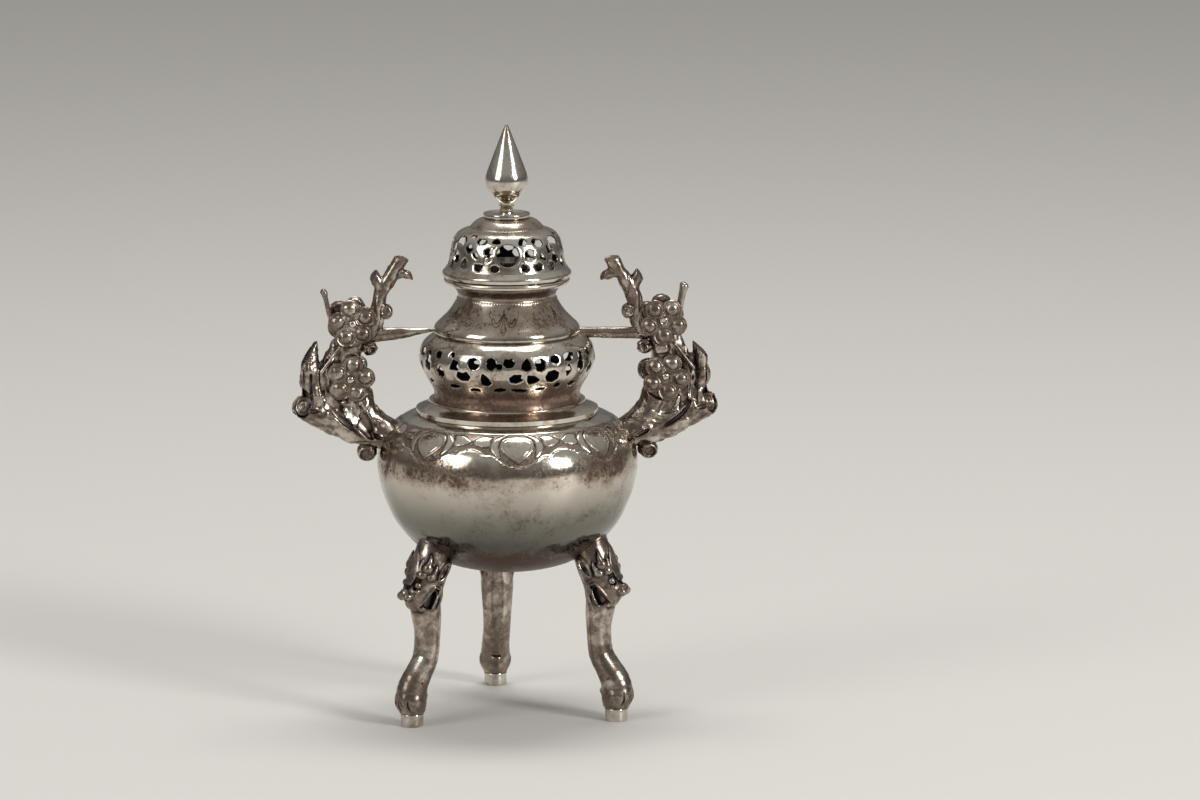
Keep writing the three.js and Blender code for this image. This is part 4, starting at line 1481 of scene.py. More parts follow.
    def stem(self) -> Skin:
        """The short stem."""
        side = curve_through(((2.7, 169.5), (2.35, 170.3), (2.3, 171.6), (2.6, 172.6)), 14)
        return revolve(np.concatenate([[(self.bore, 169.5)], side, [(self.bore, 172.6)]]), 96)

    def finial(self) -> Skin:
        """The pointed bud on top, turned hollow for the rod."""
        rows = (
            (2.5, 172.6), (2.5, 173.5), (2.9, 174.3), (4.1, 175.2), (5.5, 176.6), (6.7, 178.6),
            (7.18, 180.8), (6.9, 183.0), (6.1, 185.3), (5.1, 187.9), (3.08, 193.2), (1.1, 198.2),
            (0.35, 199.75), (0, 200),
        )
        side = curve_through(rows, 70)
        return revolve(np.concatenate([[(0, 176.4), (self.bore, 176.4), (self.bore, 172.6)], side]), 160)

    def rod(self) -> Skin:
        """The rod that draws the finial down."""
        return revolve(np.array([(0, 164.6), (1.0, 164.6), (1.2, 164.8), (1.2, 176.1), (0, 176.1)]), 48)

    def nut(self) -> Skin:
        """The round nut on the rod."""
        side = [(2.5, 165.5), (2.85, 165.65), (3, 166), (3, 167.1), (2.7, 167.4)]
        return revolve(np.array([(self.bore, 165.5), *side, (self.bore, 167.4)]), 64)

    def build(self, shop: Workshop) -> None:
        """Make and dress the lid's pieces."""
        for node, skin, slot in (
            ("lid_rim", self.rim(), Slot.TURNED),
            ("lid_bezel", self.bezel(), Slot.TURNED),
            ("lid_dome", self.dome(), Slot.PIERCED),
            ("lid_cap", self.cap(), Slot.TURNED),
            ("finial_stem", self.stem(), Slot.TURNED),
            ("finial", self.finial(), Slot.TURNED),
            ("finial_rod", self.rod(), Slot.TURNED),
            ("finial_nut", self.nut(), Slot.TURNED),
        ):
            shop.piece(node, skin, Body.LID, slot)


# The cast legs


@dataclass
class Legs:
    """Three legs, each a beast's head that lets out a smooth shank with a paw, on a short round plug.

    A leg is modelled with its outward direction along +X, and turned to its place.

    Attributes:
        bowl: The bowl's outer outline, which the leg is fitted to.
        azimuths: Where each leg stands, in degrees from the front.
        circle: The radius of the circle that the plugs stand on.
        pad_height: The height of the paw's underside.
        shank: Rows of outward distance, height, half depth and half width.
        head: The head's rows.
        mouth: Corners of the mouth's side opening, as outward distance and height.
        gape: Corners of the dark hollow in it, beside the shank.
    """

    bowl: Array
    azimuths: dict[str, float] = field(
        default_factory=lambda: {"front_left": -60, "front_right": 60, "back": 180}
    )
    circle: float = 39.8
    pad_height: float = 4.5
    shank: Rows = (
        (39.8, 4.5, 3.9, 3.8), (39.8, 7, 4.9, 4.5), (40.1, 9.9, 5.4, 5.0), (39.3, 13.8, 5.0, 4.8),
        (36.6, 18.3, 4.3, 4.7), (34.2, 22.8, 4.05, 4.7), (33.4, 31, 3.9, 5.2), (33.8, 37, 4.7, 5.6),
        (34.2, 42, 5.2, 5.2), (33.2, 49, 5.6, 5.4), (31.4, 55, 5.8, 5.6), (30, 60, 5.8, 5.6),
        (29, 66, 5.8, 5.6),
    )
    head: Rows = (
        (35.6, 42.6, 5.2, 5.6), (34.8, 46, 5.9, 6.2), (33.5, 50, 6.5, 6.3), (31.6, 55, 6.6, 6.2),
        (30, 60, 6.2, 6), (29, 66, 6, 5.8),
    )
    mouth: Rows = (
        (32.3, 46.6), (34.6, 47.7), (36.9, 45.2), (38.9, 42.4), (40.2, 40.2), (39.6, 34), (34.6, 34),
        (33.6, 41),
    )
    gape: Rows = ((33.0, 45.4), (34.7, 46.4), (36.7, 44.0), (38.2, 41.7), (36.8, 40.0), (34.6, 40.2))

    def form(self, points: Array) -> Array:
        """The distance to a whole leg, in millimetres."""
        p = points.copy()
        p[:, 1] = np.abs(p[:, 1])
        form = limb(p, self.shank, 30)
        head = limb(p, self.head, 12)
        head = blend(head, egg(p, (38.2, 0, 44.8), (4.3, 4.6, 3.9), -12), 1.6)
        head = np.maximum(head, slab(p, (38, 0, 39.8), (-0.35, 0, -1)))
        side_cut = np.maximum(polygon(p[:, [0, 2]], self.mouth), 3.6 - p[:, 1])
        head = hollow(head, side_cut, 0.42)
        form = blend(form, head, 0.5)
        form = carve(form, np.maximum(polygon(p[:, [0, 2]], self.gape), 3.5 - p[:, 1]), 0.2)
        form = self.features(form, p)
        form = self.paw(form, p)
        form = np.maximum(form, -SEATED - turned_field(points, self.bowl))
        return np.maximum(form, self.pad_height - p[:, 2])

    @staticmethod
    def features(form: Array, p: Array) -> Array:
        """Add the face: crest, brows, eyes, nose, ears, fangs and side facets."""
        crest = ((-2, 48), (1.6, 48.4), (2.7, 50.6), (3.1, 53), (2.6, 56), (1.2, 59), (0, 61), (-2, 58))
        leaf = polygon(p[:, [1, 2]], crest)
        form = blend(form, np.maximum(np.maximum(form - 0.75, leaf), 34 - p[:, 0]), 0.25)
        form = carve(form, egg(p, (40.3, 3.7, 48.4), (1.5, 1.7, 1.7)), 0.3)
        form = blend(form, egg(p, (39.5, 3.5, 48.4), (1.25, 1.25, 1.25)), 0.12)
        form = blend(form, egg(p, (39.9, 3.6, 46.5), (0.75, 0.75, 0.75)), 0.12)
        for place, radii in (
            ((37.7, 3.5, 51.8), (2.1, 2.0, 1.9)),
            ((36.3, 4.9, 53.9), (2.0, 1.7, 2.0)),
            ((35.7, 5.7, 51.0), (1.8, 1.4, 1.6)),
        ):
            form = blend(form, egg(p, place, radii), 0.35)
        for rows in (
            ((38.1, 3.1, 53.0, 1.1), (37.7, 3.2, 55.2, 0.7), (37.0, 3.0, 57.2, 0.2)),
            ((36.6, 5.2, 54.6, 1.1), (35.7, 5.5, 56.6, 0.7), (35.2, 5.2, 58.6, 0.2)),
            ((35.4, 6.2, 51.6, 0.9), (34.3, 6.5, 53.4, 0.6), (33.6, 6.3, 55.2, 0.2)),
        ):
            form = blend(form, line(p, rows, 6), 0.25)
        nose = blend(egg(p, (42, 0, 45.3), (2.2, 2.3, 2.1)), egg(p, (42.3, 1.7, 44.5), (1.9, 1.6, 1.6)), 0.5)
        form = blend(form, nose, 0.35)
        form = carve(form, egg(p, (43.7, 1.9, 43.4), (0.7, 0.45, 0.5)), 0.15)
        facet = slab(p, (32.6, 5.75, 58), (0.32, 1, 0.3))
        kite = polygon(p[:, [0, 2]], ((30.4, 57.2), (32.6, 53.8), (35, 57), (33.6, 62.6), (31.6, 63.4)))
        form = carve(form, np.maximum(-facet, kite), 0.2)
        ear = egg(p, (31.1, 6.0, 52.2), (2.1, 1.0, 5.0), -38.7)
        form = blend(form, ear, 0.3)
        form = hollow(form, egg(p, (31.0, 7.5, 52.4), (1.35, 1.4, 4.0), -38.7), 0.33)
        fang = (
            (33.2, 5.3, 45.8, 0.25), (33.5, 5.7, 43.4, 0.5), (34.6, 5.6, 41.2, 0.45),
            (35.7, 5.2, 39.3, 0.15),
        )
        jaw = ((31.6, 5.8, 47.6, 0.5), (31.9, 5.9, 44, 0.6), (33.0, 5.4, 40.4, 0.45), (33.9, 5.0, 37.6, 0.2))
        form = blend(form, line(p, fang, 8), 0.2)
        return blend(form, line(p, jaw, 8), 0.5)

    @staticmethod
    def paw(form: Array, p: Array) -> Array:
        """Add the toes and the heel spur, and cut the claws' lines and the ankle's groove."""
        for place, radii in (
            ((42.3, 1.7, 8.5), (2.9, 2.1, 2.9)),
            ((40.6, 3.3, 8.4), (3.0, 2.1, 2.7)),
            ((35.3, 0, 9.9), (1.3, 1.8, 0.9)),
        ):
            form = blend(form, egg(p, place, radii), 1.3)
        for rows in (
            ((45.4, 0, 10.0, 0.14), (45.3, 0, 7.6, 0.24), (43.9, 0, 5.4, 0.2)),
            ((43.8, 3.4, 10.2, 0.12), (44.0, 3.5, 7.8, 0.22), (42.8, 3.6, 5.4, 0.2)),
            ((40.4, 5.3, 10.4, 0.12), (38.6, 5.2, 8.6, 0.22), (36.8, 4.2, 7.4, 0.2)),
            ((45.6, 1.1, 9.6, 0.16), (45.3, 1.5, 8.2, 0.2), (45.2, 1.9, 6.8, 0.12)),
            ((44.4, 4.2, 9.4, 0.16), (43.6, 4.8, 8.0, 0.2), (42.9, 5.0, 6.8, 0.12)),
            ((39.0, 4.6, 15.4, 0.14), (36.6, 4.9, 12.6, 0.22), (35.0, 2.9, 11.2, 0.2), (34.6, 0, 10.9, 0.2)),
        ):
            form = carve(form, line(p, rows, 8), 0.25)
        return form

    def leg(self) -> Skin:
        """One leg, with its outward direction along +X."""
        return cast(self.form, (25, -9, 4), (47, 9, 66), step=0.28, dark=1.05, seed=3)

    def pad(self) -> Skin:
        """The plug under a paw."""
        edge = curve_through(((3.78, 3.6), (3.95, 4.0), (3.8, 4.35), (3.3, 4.5)), 8)
        profile = np.concatenate([[(0, 0), (3.5, 0), (3.72, 0.2), (3.8, 0.6), (3.78, 3.2)], edge, [(0, 4.5)]])
        skin = revolve(profile, 96)
        return skin.moved(skin.points + (self.circle, 0, 0))

    def build(self, shop: Workshop) -> None:
        """Make and dress the legs and their plugs."""
        leg, pad = self.leg(), self.pad()
        for name, azimuth in self.azimuths.items():
            turn = math.radians(azimuth - 90)
            shop.piece(f"leg_{name}", leg.turned(turn), Body.VESSEL, Slot.CAST)
            shop.piece(f"foot_pad_{name}", pad.turned(turn), Body.VESSEL, Slot.TURNED)


# The branch handles


@dataclass(frozen=True)
class SawCut:
    """Where a limb's end is sawn off.

    Attributes:
        centre: The middle of the cut.
        normal: The direction that it faces, with the front towards -Y.
        reach: How far from its middle the saw cuts.
        ring: The spacing of the growth lines on it.
        sunk: How deep the wood lies inside the bark.
    """

    centre: tuple[float, float, float]
    normal: tuple[float, float, float]
    reach: float
    ring: float
    sunk: float


@dataclass(frozen=True)
class Side:
    """What differs between the two handles.

    Attributes:
        name: The side's name.
        way: -1 towards -X and 1 towards +X.
        rise: How much higher this handle is than the rows say.
        stub: The upright stub, as rows for a limb.
        cuts: The saw cuts on the outer limb and the stub.
        spur: The thin spur behind the upper blossom.
        strut: The bar to the neck.
        scoop: Corners of the smooth hollow under the lower blossom.
        furrows: The deep crease beside it and the stub's folds, as rows for lines.
        turns: The first petal's angle on the upper and the lower blossom, in degrees.
        tilts: How far each front blossom leans up and outwards, in degrees.
        tubes: The levels whose rivet is an open tube.
    """

    name: str
    way: int
    rise: float
    stub: Rows
    cuts: tuple[SawCut, ...]
    spur: Rows
    strut: Rows
    scoop: Rows
    furrows: tuple[Rows, ...]
    turns: dict[Level, float]
    tilts: dict[Level, tuple[float, float]]
    tubes: tuple[Level, ...] = ()


LEFT = Side(
    name="left",
    way=-1,
    rise=0.0,
    stub=(
        (62.6, 103, 4, 4), (65.2, 110, 3.7, 3.6), (65.9, 117, 3.5, 3.4), (66.3, 122, 2.9, 2.8),
        (65.6, 127.5, 1.5, 1.7),
    ),
    cuts=(
        SawCut((69.3, 0, 106.0), (0.74, -0.6, 0.2), 6.2, 1.5, 0.8),
        SawCut((67.2, 0, 123.3), (0.8, -0.2, 0.55), 8.0, 1.1, 0.4),
    ),
    spur=((54, 131, 1.2, 1.2), (58.8, 134.6, 0.85, 0.85), (60.7, 141.5, 0.75, 0.75), (61.4, 144.2, 1.15, 1)),
    strut=((47, 129.4, 2.6, 2.2), (36, 130, 1.9, 1.7), (24.4, 131, 0.5, 0.6)),
    scoop=(
        (59.0, 110.0), (56.9, 104.8), (53.8, 101.2), (49.8, 97.2), (46.8, 94.4), (44.8, 95.4),
        (45.6, 100.4), (47.6, 104.6), (50.0, 110.0),
    ),
    furrows=(
        ((61.6, -3.4, 110.4, 0.6), (58.4, -4, 104.2, 0.9), (54, -4.6, 99.8, 0.8), (48.8, -5.2, 95.4, 0.4)),
        ((65.6, -3.9, 105.6, 0.2), (66.2, -3.6, 112.0, 0.42), (66.2, -3.3, 118.4, 0.3)),
        ((68.2, -2.9, 107.6, 0.2), (68.7, -2.6, 113.0, 0.38), (68.3, -2.2, 118.6, 0.25)),
    ),
    turns={Level.UPPER: 80, Level.LOWER: 100},
    tilts={Level.UPPER: (0.0, 0.0), Level.LOWER: (5.0, -6.0)},
)
RIGHT = Side(
    name="right",
    way=1,
    rise=-1.2,
    stub=(
        (62.4, 103, 4, 4), (65.2, 110, 3.1, 3.3), (65.8, 117, 2.5, 2.8), (65.9, 122, 2.3, 2.5),
        (65.4, 127.5, 2.2, 2.3),
    ),
    cuts=(
        SawCut((69.3, 0, 106.0), (0.78, -0.52, 0.3), 6.2, 1.5, 0.8),
        SawCut((65.6, 0, 123.9), (0.66, -0.2, 0.7), 8.0, 1.1, 0.4),
    ),
    spur=((54, 131, 1.3, 1.3), (57.6, 135.4, 1.0, 1.0), (59.2, 142.5, 0.95, 0.9), (59.9, 145.4, 1.3, 1.1)),
    strut=((47, 129.6, 2.1, 2), (36, 130, 1.9, 1.8), (24.4, 130.4, 1.8, 1.7)),
    scoop=(
        (53.8, 102.6), (56.8, 103.2), (58.9, 105.5), (59.4, 108.8), (58.4, 111.4), (57.0, 108.6),
        (55.6, 105.6),
    ),
    furrows=(
        ((62.8, -3.4, 111.6, 0.4), (60.4, -4, 104.4, 0.7), (55.6, -4.6, 100.2, 0.7), (49, -5.2, 96.4, 0.4)),
        ((63.8, -3.6, 106.0, 0.2), (63.6, -3.3, 112.0, 0.4), (63.8, -2.8, 119.4, 0.25)),
        ((66.9, -2.9, 107.4, 0.2), (67.1, -2.4, 113.0, 0.34), (66.8, -2.1, 120.4, 0.2)),
    ),
    turns={Level.UPPER: 55, Level.LOWER: 64},
    tilts={Level.UPPER: (0.0, 6.0), Level.LOWER: (-4.0, 8.0)},
    tubes=(Level.UPPER,),
)


@dataclass(frozen=True)
class Bud:
    """A bud on a handle.

    Attributes:
        centre: Its middle.
        radii: Its half lengths.
        face: The direction that its open face looks in.
        open: The radius of the open face, as a share of the bud's.
        sunk: How far the face lies from the bud's middle, as a share of the bud's radius.
        lip: The radius of the face's rolled edge.
        rough: How far its surface is gnarled.
        dark: How strongly its recesses darken.
        seed: The pattern of its gnarls.
    """

    centre: tuple[float, float, float]
    radii: tuple[float, float, float]
    face: tuple[float, float, float]
    open: float
    sunk: float
    lip: float
    rough: float
    dark: float
    seed: int


BUDS = {
    "twig_bud": Bud((40.6, -1.4, 137.6), (2.1, 2.1, 2.7), (0.2, -1, 0.1), 0.72, 0.62, 0.5, 0.08, 0.45, 31),
    "strut_bud": Bud((46.4, -1.6, 125.4), (2.7, 2.4, 2.4), (-0.3, -1, -0.1), 0.5, 0.74, 0.3, 0.34, 0.8, 32),
    "root_bud": Bud((47.4, -1.0, 90.4), (3.5, 3.0, 3.0), (0.2, -1, -0.35), 0.78, 0.56, 0.55, 0.16, 0.5, 33),
}


@dataclass
class Handles:
    """Two old plum branches in blossom, soldered to the bowl and braced to the neck.

    Every form is made with its outward direction along +X, as rows of outward distance, height, half
    thickness in the handle's plane and half depth across it.

    Attributes:
        bowl: The bowl's outer outline, which the branches are fitted to.
        seat: How far from the handle's middle plane a blossom is seated.
        petal_circle: The radius of the circle that the petals' middles lie on.
        trunk: The trunk, from the bowl up to the twig.
        outer_limb: The limb that leaves it outwards and is sawn off.
        web: The knotted wood between the two.
        folds: The smooth hollows between the knots, as centre, half lengths, tilt in degrees and lip.
        twig: The forked twig on top of the trunk.
        twig_stubs: Its two side shoots.
        twig_cuts: Where it and they are sawn off.
        crossing_twig: The thin twig that crosses in front of the branch.
        crossing_plane: Where it lies along Y.
        flowers: The outward distance and height of the blossoms at each level.
    """

    bowl: Array
    seat: float = 3.1
    petal_circle: float = 4.65
    trunk: Rows = (
        (36, 94, 5.4, 5.4), (42.5, 96.8, 5.6, 5.2), (46.6, 101.6, 4.6, 4.6), (49.6, 108, 4, 4),
        (52.4, 115, 4.4, 4), (53, 122, 3.6, 3.6), (51.6, 129, 3.8, 3.6), (50.8, 136, 3.4, 3.4),
    )
    outer_limb: Rows = (
        (44, 96, 4.4, 4.6), (52, 97.8, 4.6, 4.6), (59, 101.2, 4.6, 4.4), (65, 104.2, 4.2, 4),
        (70.8, 105.9, 3.3, 3.6),
    )
    web: Rows = (
        (50.6, 101.6, 3.4, 3.4), (56, 106.4, 5.4, 3.0), (59.6, 112.6, 4.8, 2.8), (59.8, 119, 3.4, 2.7),
        (56.6, 126, 2.8, 2.7), (52.6, 131, 2.8, 2.8),
    )
    folds: tuple[tuple[Sequence[float], Sequence[float], float, float], ...] = (
        ((62.4, -4.2, 113.2), (1.2, 2.2, 6.4), 8, 0.35),
        ((60.9, -4.4, 121.2), (1.5, 2.6, 1.9), -20, 0.35),
        ((45.2, -5.6, 96.4), (1.1, 1.8, 3.4), 62, 0.3),
        ((65.8, -4.6, 104.8), (1.2, 1.5, 3.2), 78, 0.3),
    )
    twig: Rows = (
        (46, 131, 3.2, 2.8), (44.6, 134, 2.9, 2.7), (43.4, 138, 2.4, 2.4), (42.4, 143.4, 2.3, 2.2),
        (39.8, 148, 2.2, 2.1), (34.9, 156, 2.4, 2.2),
    )
    twig_stubs: tuple[Rows, ...] = (
        ((42, 144.6, 1.8, 1.8), (45, 150.6, 1.6, 1.5)),
        ((37.4, 150.6, 1.7, 1.7), (31.4, 149.4, 1.3, 1.3)),
    )
    twig_cuts: tuple[SawCut, ...] = (
        SawCut((35.3, 0, 155.4), (-0.3, -0.25, 1), 4.0, 0.8, 0.15),
        SawCut((44.8, 0, 150.0), (0.75, -0.3, 0.5), 3.0, 0.6, 0.15),
        SawCut((32.1, 0, 149.5), (-1, -0.3, 0.4), 3.0, 0.5, 0.15),
    )
    crossing_twig: Rows = ((56.4, 126.4, 0.55, 0.55), (59.6, 122.2, 0.5, 0.5), (62.6, 118.0, 0.75, 0.7))
    crossing_plane: float = -3.65
    flowers: dict[Level, tuple[float, float]] = field(
        default_factory=lambda: {Level.UPPER: (52.3, 134.2), Level.LOWER: (53.1, 115.4)}
    )

    @staticmethod
    def bark(points: Array, seed: int) -> Array:
        """Gnarls and furrows: how far the bark stands out, in millimetres.

        The furrows run up the standing limbs and along the lying ones, which are the lower ones.
        """
        lying = np.abs(noise(points * (0.35, 1, 1), 1.9, seed))
        standing = np.abs(noise(points * (1, 1, 0.3), 1.9, seed))
        furrows = lying + (standing - lying) * smooth_step(98, 108, points[:, 2])
        return 0.5 * noise(points, 3.8, seed + 1) + 0.75 * furrows + 0.13 * noise(points, 1.0, seed + 2)

    def branch_field(self, points: Array, side: Side) -> Array:
        """The distance to a branch with its stubs and spur."""
        p = points - (0, 0, side.rise)
        p[:, 1] = -np.abs(p[:, 1])
        plane = p[:, [0, 2]]
        clear = turned_field(points, self.bowl)
        form = limb(p, self.trunk, 22)
        form = blend(form, limb(p, self.outer_limb, 14), 1.0)
        form = blend(form, limb(p, side.stub, 14), 1.0)
        form = blend(form, limb(p, self.web, 14), 0.8)
        form = form - self.bark(points * (side.way, 1, 1), 11) * smooth_step(0, 4, clear)
        for rows in side.furrows:
            form = carve(form, line(p, rows, 8), 0.4)
        form = hollow(form, self.scooped(plane, p[:, 1], side.scoop), 0.42)
        for middle, radii, tilt, lip in self.folds:
            form = hollow(form, egg(p, middle, radii, tilt), lip)
        for cut in side.cuts:
            form = self.sawn_end(form, points - (0, 0, side.rise), cut)
        form = blend(form, limb(p, side.spur, 10, -1.6), 0.4)
        for centre in self.flowers.values():
            across = np.hypot(p[:, 0] - centre[0], p[:, 2] - centre[1])
            pocket = np.maximum(across - 8.0, self.seat + p[:, 1])
            form = carve(form, pocket, 0.5)
        return np.maximum(form, -SEATED - clear)

    @staticmethod
    def scooped(plane: Array, y: Array, corners: Rows) -> Array:
        """A shallow dish in the front of a limb: its floor rises to its edge as 1 less an exponential."""
        edge = polygon(plane, loop_through(corners, 40))
        floor = -5.0 + 2.4 * (1 - np.exp(np.minimum(edge, 0) / 1.6))
        return np.maximum(edge, y - floor)

    @staticmethod
    def sawn_end(form: Array, points: Array, cut: SawCut) -> Array:
        """Cut a limb's end off flat and sink the wood inside its bark a little, in rings of growth.

        The saw takes what lies above the plane and within the cut's reach of the line through its middle.
        """
        rise, beside = about_line(points, cut.centre, cut.normal)
        floor = -cut.sunk * (1 - 0.35 * np.cos(TURN * beside / cut.ring))
        wood = np.maximum(np.maximum(form + 0.5, floor - rise), beside - cut.reach)
        form = np.maximum(form, np.minimum(rise, cut.reach - beside))
        return carve(form, wood, 0.12)

    def twig_field(self, points: Array, side: Side) -> Array:
        """The distance to the forked twig."""
        p = points - (0, 0, side.rise)
        form = limb(p, self.twig, 14)
        for rows in self.twig_stubs:
            form = blend(form, limb(p, rows, 5), 0.6)
        form = form - 0.6 * self.bark(points * (side.way, 1, 1), 15)
        for cut in self.twig_cuts:
            form = self.sawn_end(form, p, cut)
        return form

    def petals_field(self, points: Array, first: float, seed: int) -> Array:
        """The distance to a blossom with its middle at the origin and its face up +Z.

        The place is folded into one fifth of the circle. There a petal is a shallow piece of a thin sphere
        with a rounded lip and a large boss. Each petal has its own size and lift. A disc under the middle
        carries a ring for the rivet.

        Args:
            points: Places, one to a row.
            first: The first petal's angle, in degrees.
            seed: Which petals are larger or lifted.

        Returns:
            The field.
        """
        radius = np.hypot(points[:, 0], points[:, 1])
        fifth = TURN / 5
        angle = np.arctan2(points[:, 1], points[:, 0]) - math.radians(first)
        which = np.floor(angle / fifth + 0.5).astype(int) % 5
        angle = (angle + fifth / 2) % fifth - fifth / 2
        own = hashed(np.stack([np.arange(5), np.full(5, seed), np.zeros(5, int)], 1), 9)
        size, lift = 1 + 0.06 * own[which], 0.22 * own[(which + 2) % 5]
        p = np.stack([radius * np.cos(angle), radius * np.sin(angle), points[:, 2] - lift], 1)
        bowl_radius, lip_radius, lip_height = 5.4, 3.4 * size, 1.5
        centre = np.array([self.petal_circle, 0, bowl_radius + 0.5])
        across = np.hypot(p[:, 0] - centre[0], p[:, 1])
        cup = np.abs(np.linalg.norm(p - centre, axis=1) - bowl_radius) - 0.36
        cup = np.maximum(cup, np.maximum(across - lip_radius, p[:, 2] - 3))
        lip = np.hypot(across - lip_radius, p[:, 2] - lip_height) - 0.26
        cup = blend(cup, lip, 0.3)
        below = np.maximum(np.maximum(across - lip_radius * 0.8, p[:, 2] - 1), -p[:, 2] - 0.6)
        boss = egg(p, (self.petal_circle + 0.3, 0, 1.2), (2.45, 2.45, 1.8))
        form = blend(blend(cup, below, 0.4), boss, 0.8)
        heart = np.maximum(radius - 3.7, np.abs(points[:, 2] - 0.65) - 0.65)
        form = blend(form, heart, 0.5)
        cloud = np.hypot(radius - 2.9, points[:, 2] - 1.2) - 0.45
        form = blend(form, cloud, 0.35)
        ring = np.hypot(radius - 1.65, points[:, 2] - 1.4) - 0.34
        form = blend(form, ring, 0.15)
        return np.maximum(form, -points[:, 2])

    def blossom(self, side: Side, level: Level, face: Face, seed: int) -> Skin:
        """One blossom on its seat.

        Args:
            side: Which handle.
            level: Which pair it is one of.
            face: Which of the pair it is. The back one is turned a little and doesn't lean.
            seed: The pattern of its small unevenness.

        Returns:
            The skin, with its outward direction along +X.
        """
        first, (up, out) = side.turns[level], side.tilts[level]
        if face is Face.BACK:
            first, up, out = first + 30, 0.0, 0.0
        slope = np.tan(np.radians([out, up]))

        def form(points: Array) -> Array:
            """The distance to the uneven petals, sheared a little where the blossom leans."""
            p = points.copy()
            p[:, 2] -= (points[:, :2] @ slope) * smooth_step(0, 1.6, points[:, 2])
            return self.petals_field(p, first, seed) - 0.16 * noise(points, 1.5, seed)

        skin = cast(form, (-9.2, -9.2, -0.4), (9.2, 9.2, 5.8), step=0.2, dark=0.42, seed=seed)
        x, y, z = skin.points.T
        u, height = self.flowers[level]
        joint = 0.15
        return skin.moved(np.stack([u + x, face.value * (z + self.seat + joint), height + side.rise + y], 1))

    def rivet(self, side: Side, level: Level) -> Skin:
        """The rivet through a pair of blossoms."""
        u, height = self.flowers[level]
        rows = ((1.25, 4.4), (1.25, 5.0), (0.9, 5.5), (0, 5.75))
        if level in side.tubes:
            rows = ((1.25, 4.4), (1.4, 5.2), (1.3, 5.7), (1.0, 5.75), (0.85, 5.3), (0.8, 4.8), (0, 4.7))
        dome = curve_through(rows, 18)
        shank = np.array([[0.8, 0], [0.8, 4.4]])
        half = np.concatenate([shank, dome])
        profile = np.concatenate([(half * (1, -1))[::-1], half[1:]])
        skin = revolve(profile, 48)
        x, y, z = skin.points.T
        return skin.moved(np.stack([x + u, z, y + height + side.rise], 1))

    @staticmethod
    def bud(side: Side, bud: Bud) -> Skin:
        """A bud: an egg with a flat round face sunk into it, whose edge is rolled to a lip."""
        middle, radii = np.asarray(bud.centre) + (0, 0, side.rise), np.asarray(bud.radii)
        size, margin = float(radii.mean()), 0.9

        def form(points: Array) -> Array:
            """The distance to the bud."""
            rise, beside = about_line(points, middle, bud.face)
            recess = np.maximum(beside - bud.open * size, bud.sunk * size - rise)
            whole = hollow(egg(points, middle, radii), recess, bud.lip)
            return whole - bud.rough * noise(points, 1.1, bud.seed)

        reach = radii + margin
        return cast(form, middle - reach, middle + reach, step=0.2, dark=bud.dark, seed=bud.seed)

    @staticmethod
    def strut_field(points: Array, side: Side) -> Array:
        """The distance to the bar to the neck, a little uneven along its length."""
        return limb(points - (0, 0, side.rise), side.strut, 10) - 0.12 * noise(points * (0.4, 1, 1), 1.2, 5)

    def crossing_field(self, points: Array, side: Side) -> Array:
        """The distance to the thin twig that crosses in front."""
        return limb(points - (0, 0, side.rise), self.crossing_twig, 3, self.crossing_plane)

    def build(self, shop: Workshop) -> None:
        """Make and dress both handles."""
        for side in (LEFT, RIGHT):
            self.dress(shop, side)

    def dress(self, shop: Workshop, side: Side) -> None:
        """Make and dress one handle's pieces."""
        lift = side.rise

        def put(node: str, skin: Skin, slot: Slot = Slot.CAST) -> None:
            """Mirror a skin to its side and add it."""
            shop.piece(f"{side.name}_{node}", skin.moved(skin.points * (side.way, 1, 1)), Body.VESSEL, slot)

        for node, form, low, high, step, seed in (
            ("branch", self.branch_field, (34, -8, 86), (74, 8, 148), 0.3, 21),
            ("twig", self.twig_field, (30, -4, 126), (50, 4, 158), 0.24, 22),
            ("strut", self.strut_field, (23.5, -3.5, 126 + lift), (50, 3.5, 134 + lift), 0.24, 23),
            ("crossing_twig", self.crossing_field, (55, -5.5, 116 + lift), (64, -2.5, 128 + lift), 0.2, 1),
        ):
            put(node, cast(partial(form, side=side), low, high, step=step, seed=seed))
        for node, bud in BUDS.items():
            put(node, self.bud(side, bud))
        for level in self.flowers:
            put(f"{level.value}_blossom_front", self.blossom(side, level, Face.FRONT, 41))
            put(f"{level.value}_blossom_back", self.blossom(side, level, Face.BACK, 42))
            put(f"{level.value}_rivet", self.rivet(side, level), Slot.TURNED)


# The studio


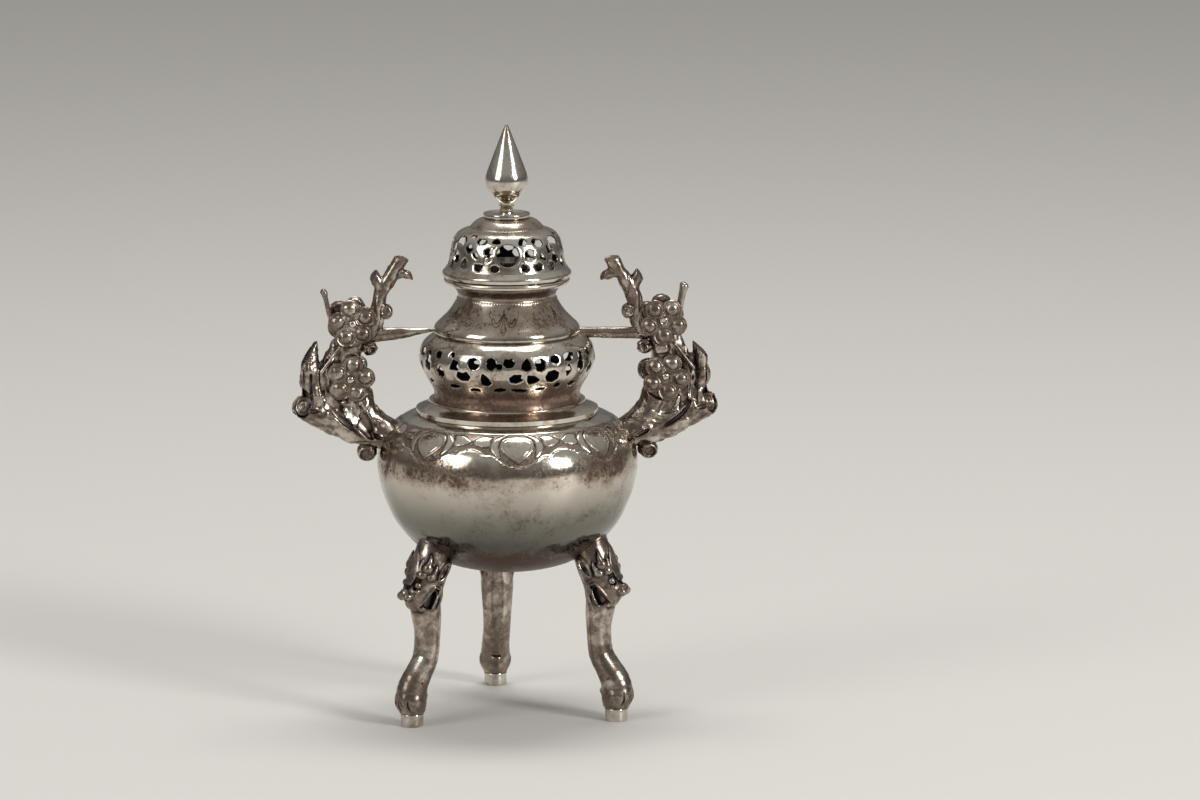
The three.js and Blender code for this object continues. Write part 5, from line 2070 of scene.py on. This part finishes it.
@dataclass(frozen=True)
class Studio:
    """A pale floor, soft lamps, and a camera where the photograph was taken from.

    Attributes:
        distance: From the axis to the camera, along the floor.
        height: The camera's height above the floor.
        azimuth: How far the camera stands round from the front, in degrees.
        pitch: How far it looks down.
        aim: How far right of the axis it looks.
        lens: Its focal length over a 36 mm sensor.
        floor: The floor's colour.
        walls: The colour of the surroundings.
        level: How bright the surroundings are at eye level.
        overhead: How bright they are overhead.
    """

    distance: float = 1.985
    height: float = 0.4583
    azimuth: float = -6.2
    pitch: float = 10.05
    aim: float = 0.9
    lens: float = 180.0
    floor: str = "#cfccc7"
    walls: str = "#a9a8a6"
    level: float = 0.3
    overhead: float = 1.25

    def camera(self) -> None:
        """Set up the camera."""
        data = bpy.data.cameras.new("camera")
        data.lens = self.lens
        data.sensor_width = 36.0
        data.sensor_fit = "HORIZONTAL"
        data.clip_end = 50.0
        turn = math.radians(self.azimuth)
        made = bpy.data.objects.new("camera", data)
        made.location = (math.sin(turn) * self.distance, -math.cos(turn) * self.distance, self.height)
        made.rotation_euler = (math.radians(90 - self.pitch), 0, math.radians(self.azimuth - self.aim))
        bpy.context.scene.collection.objects.link(made)
        bpy.context.scene.camera = made

    def ground(self) -> None:
        """Lay the floor."""
        mesh = bpy.data.meshes.new("floor")
        half = 12.0
        corners = [(-half, -half, 0), (half, -half, 0), (half, half, 0), (-half, half, 0)]
        mesh.from_pydata(corners, [], [(0, 1, 2, 3)])
        material = bpy.data.materials.new("pale_floor")
        material.use_nodes = True
        shader = material.node_tree.nodes["Principled BSDF"]
        shader.inputs["Base Color"].default_value = linear(self.floor)
        shader.inputs["Roughness"].default_value = 0.55
        mesh.materials.append(material)
        made = bpy.data.objects.new("floor", mesh)
        bpy.context.scene.collection.objects.link(made)
        made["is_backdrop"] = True

    def lamp(self, name: str, place: Sequence[float], size: tuple[float, float], power: float) -> None:
        """Hang a rectangular lamp that faces the censer's middle.

        Args:
            name: Its name.
            place: Where it hangs, in metres.
            size: Its width and height.
            power: Its power in watts.
        """
        data = bpy.data.lights.new(name, "AREA")
        data.shape = "RECTANGLE"
        data.size, data.size_y = size
        data.energy = power
        made = bpy.data.objects.new(name, data)
        made.location = place
        away = made.location - type(made.location)((0, 0, 0.1))
        made.rotation_euler = away.to_track_quat("Z", "Y").to_euler()
        bpy.context.scene.collection.objects.link(made)

    def world(self) -> None:
        """Light the surroundings softly, darker at eye level than overhead."""
        world = bpy.data.worlds.new("studio")
        world.use_nodes = True
        tree = world.node_tree
        tree.nodes.clear()
        way = add_node(tree, "TexCoord", output="Generated")
        rise = add_node(tree, "SeparateXYZ", {"Vector": way}, output="Z")
        span = {"Value": rise, "From Max": 0.9, "To Min": self.level, "To Max": self.overhead}
        strength = add_node(tree, "MapRange", span, output="Result")
        back = add_node(tree, "Background", {"Color": linear(self.walls), "Strength": strength})
        add_node(tree, "OutputWorld", {"Surface": back})
        bpy.context.scene.world = world

    def build(self) -> None:
        """Set up the whole studio."""
        self.camera()
        self.ground()
        self.world()
        self.lamp("key", (1.2, -1.25, 0.85), (0.45, 0.6), 21)
        self.lamp("fill", (-1.5, -0.9, 1.0), (0.8, 1.1), 10)
        self.lamp("top", (0.1, 0.4, 1.7), (1.0, 0.6), 15)
        bpy.context.scene.view_settings.view_transform = "Standard"


def main() -> None:
    """Load the frame, build every sub-assembly in turn and work out the model's size."""
    logging.basicConfig(level=logging.INFO, format="%(message)s")
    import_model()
    cad_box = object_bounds()
    Studio().build()
    shop = Workshop({slot: silver.build() for slot, silver in FINISHES.items()})
    vessel = Vessel()
    vessel.build(shop)
    Legs(vessel.body()).build(shop)
    Handles(vessel.body()).build(shop)
    Lid().build(shop)
    boxes = {"cad": cad_box, "visual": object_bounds()}
    {key: [list(map(float, corner)) for corner in box] for key, box in boxes.items()}


if __name__ == "__main__":
    main()
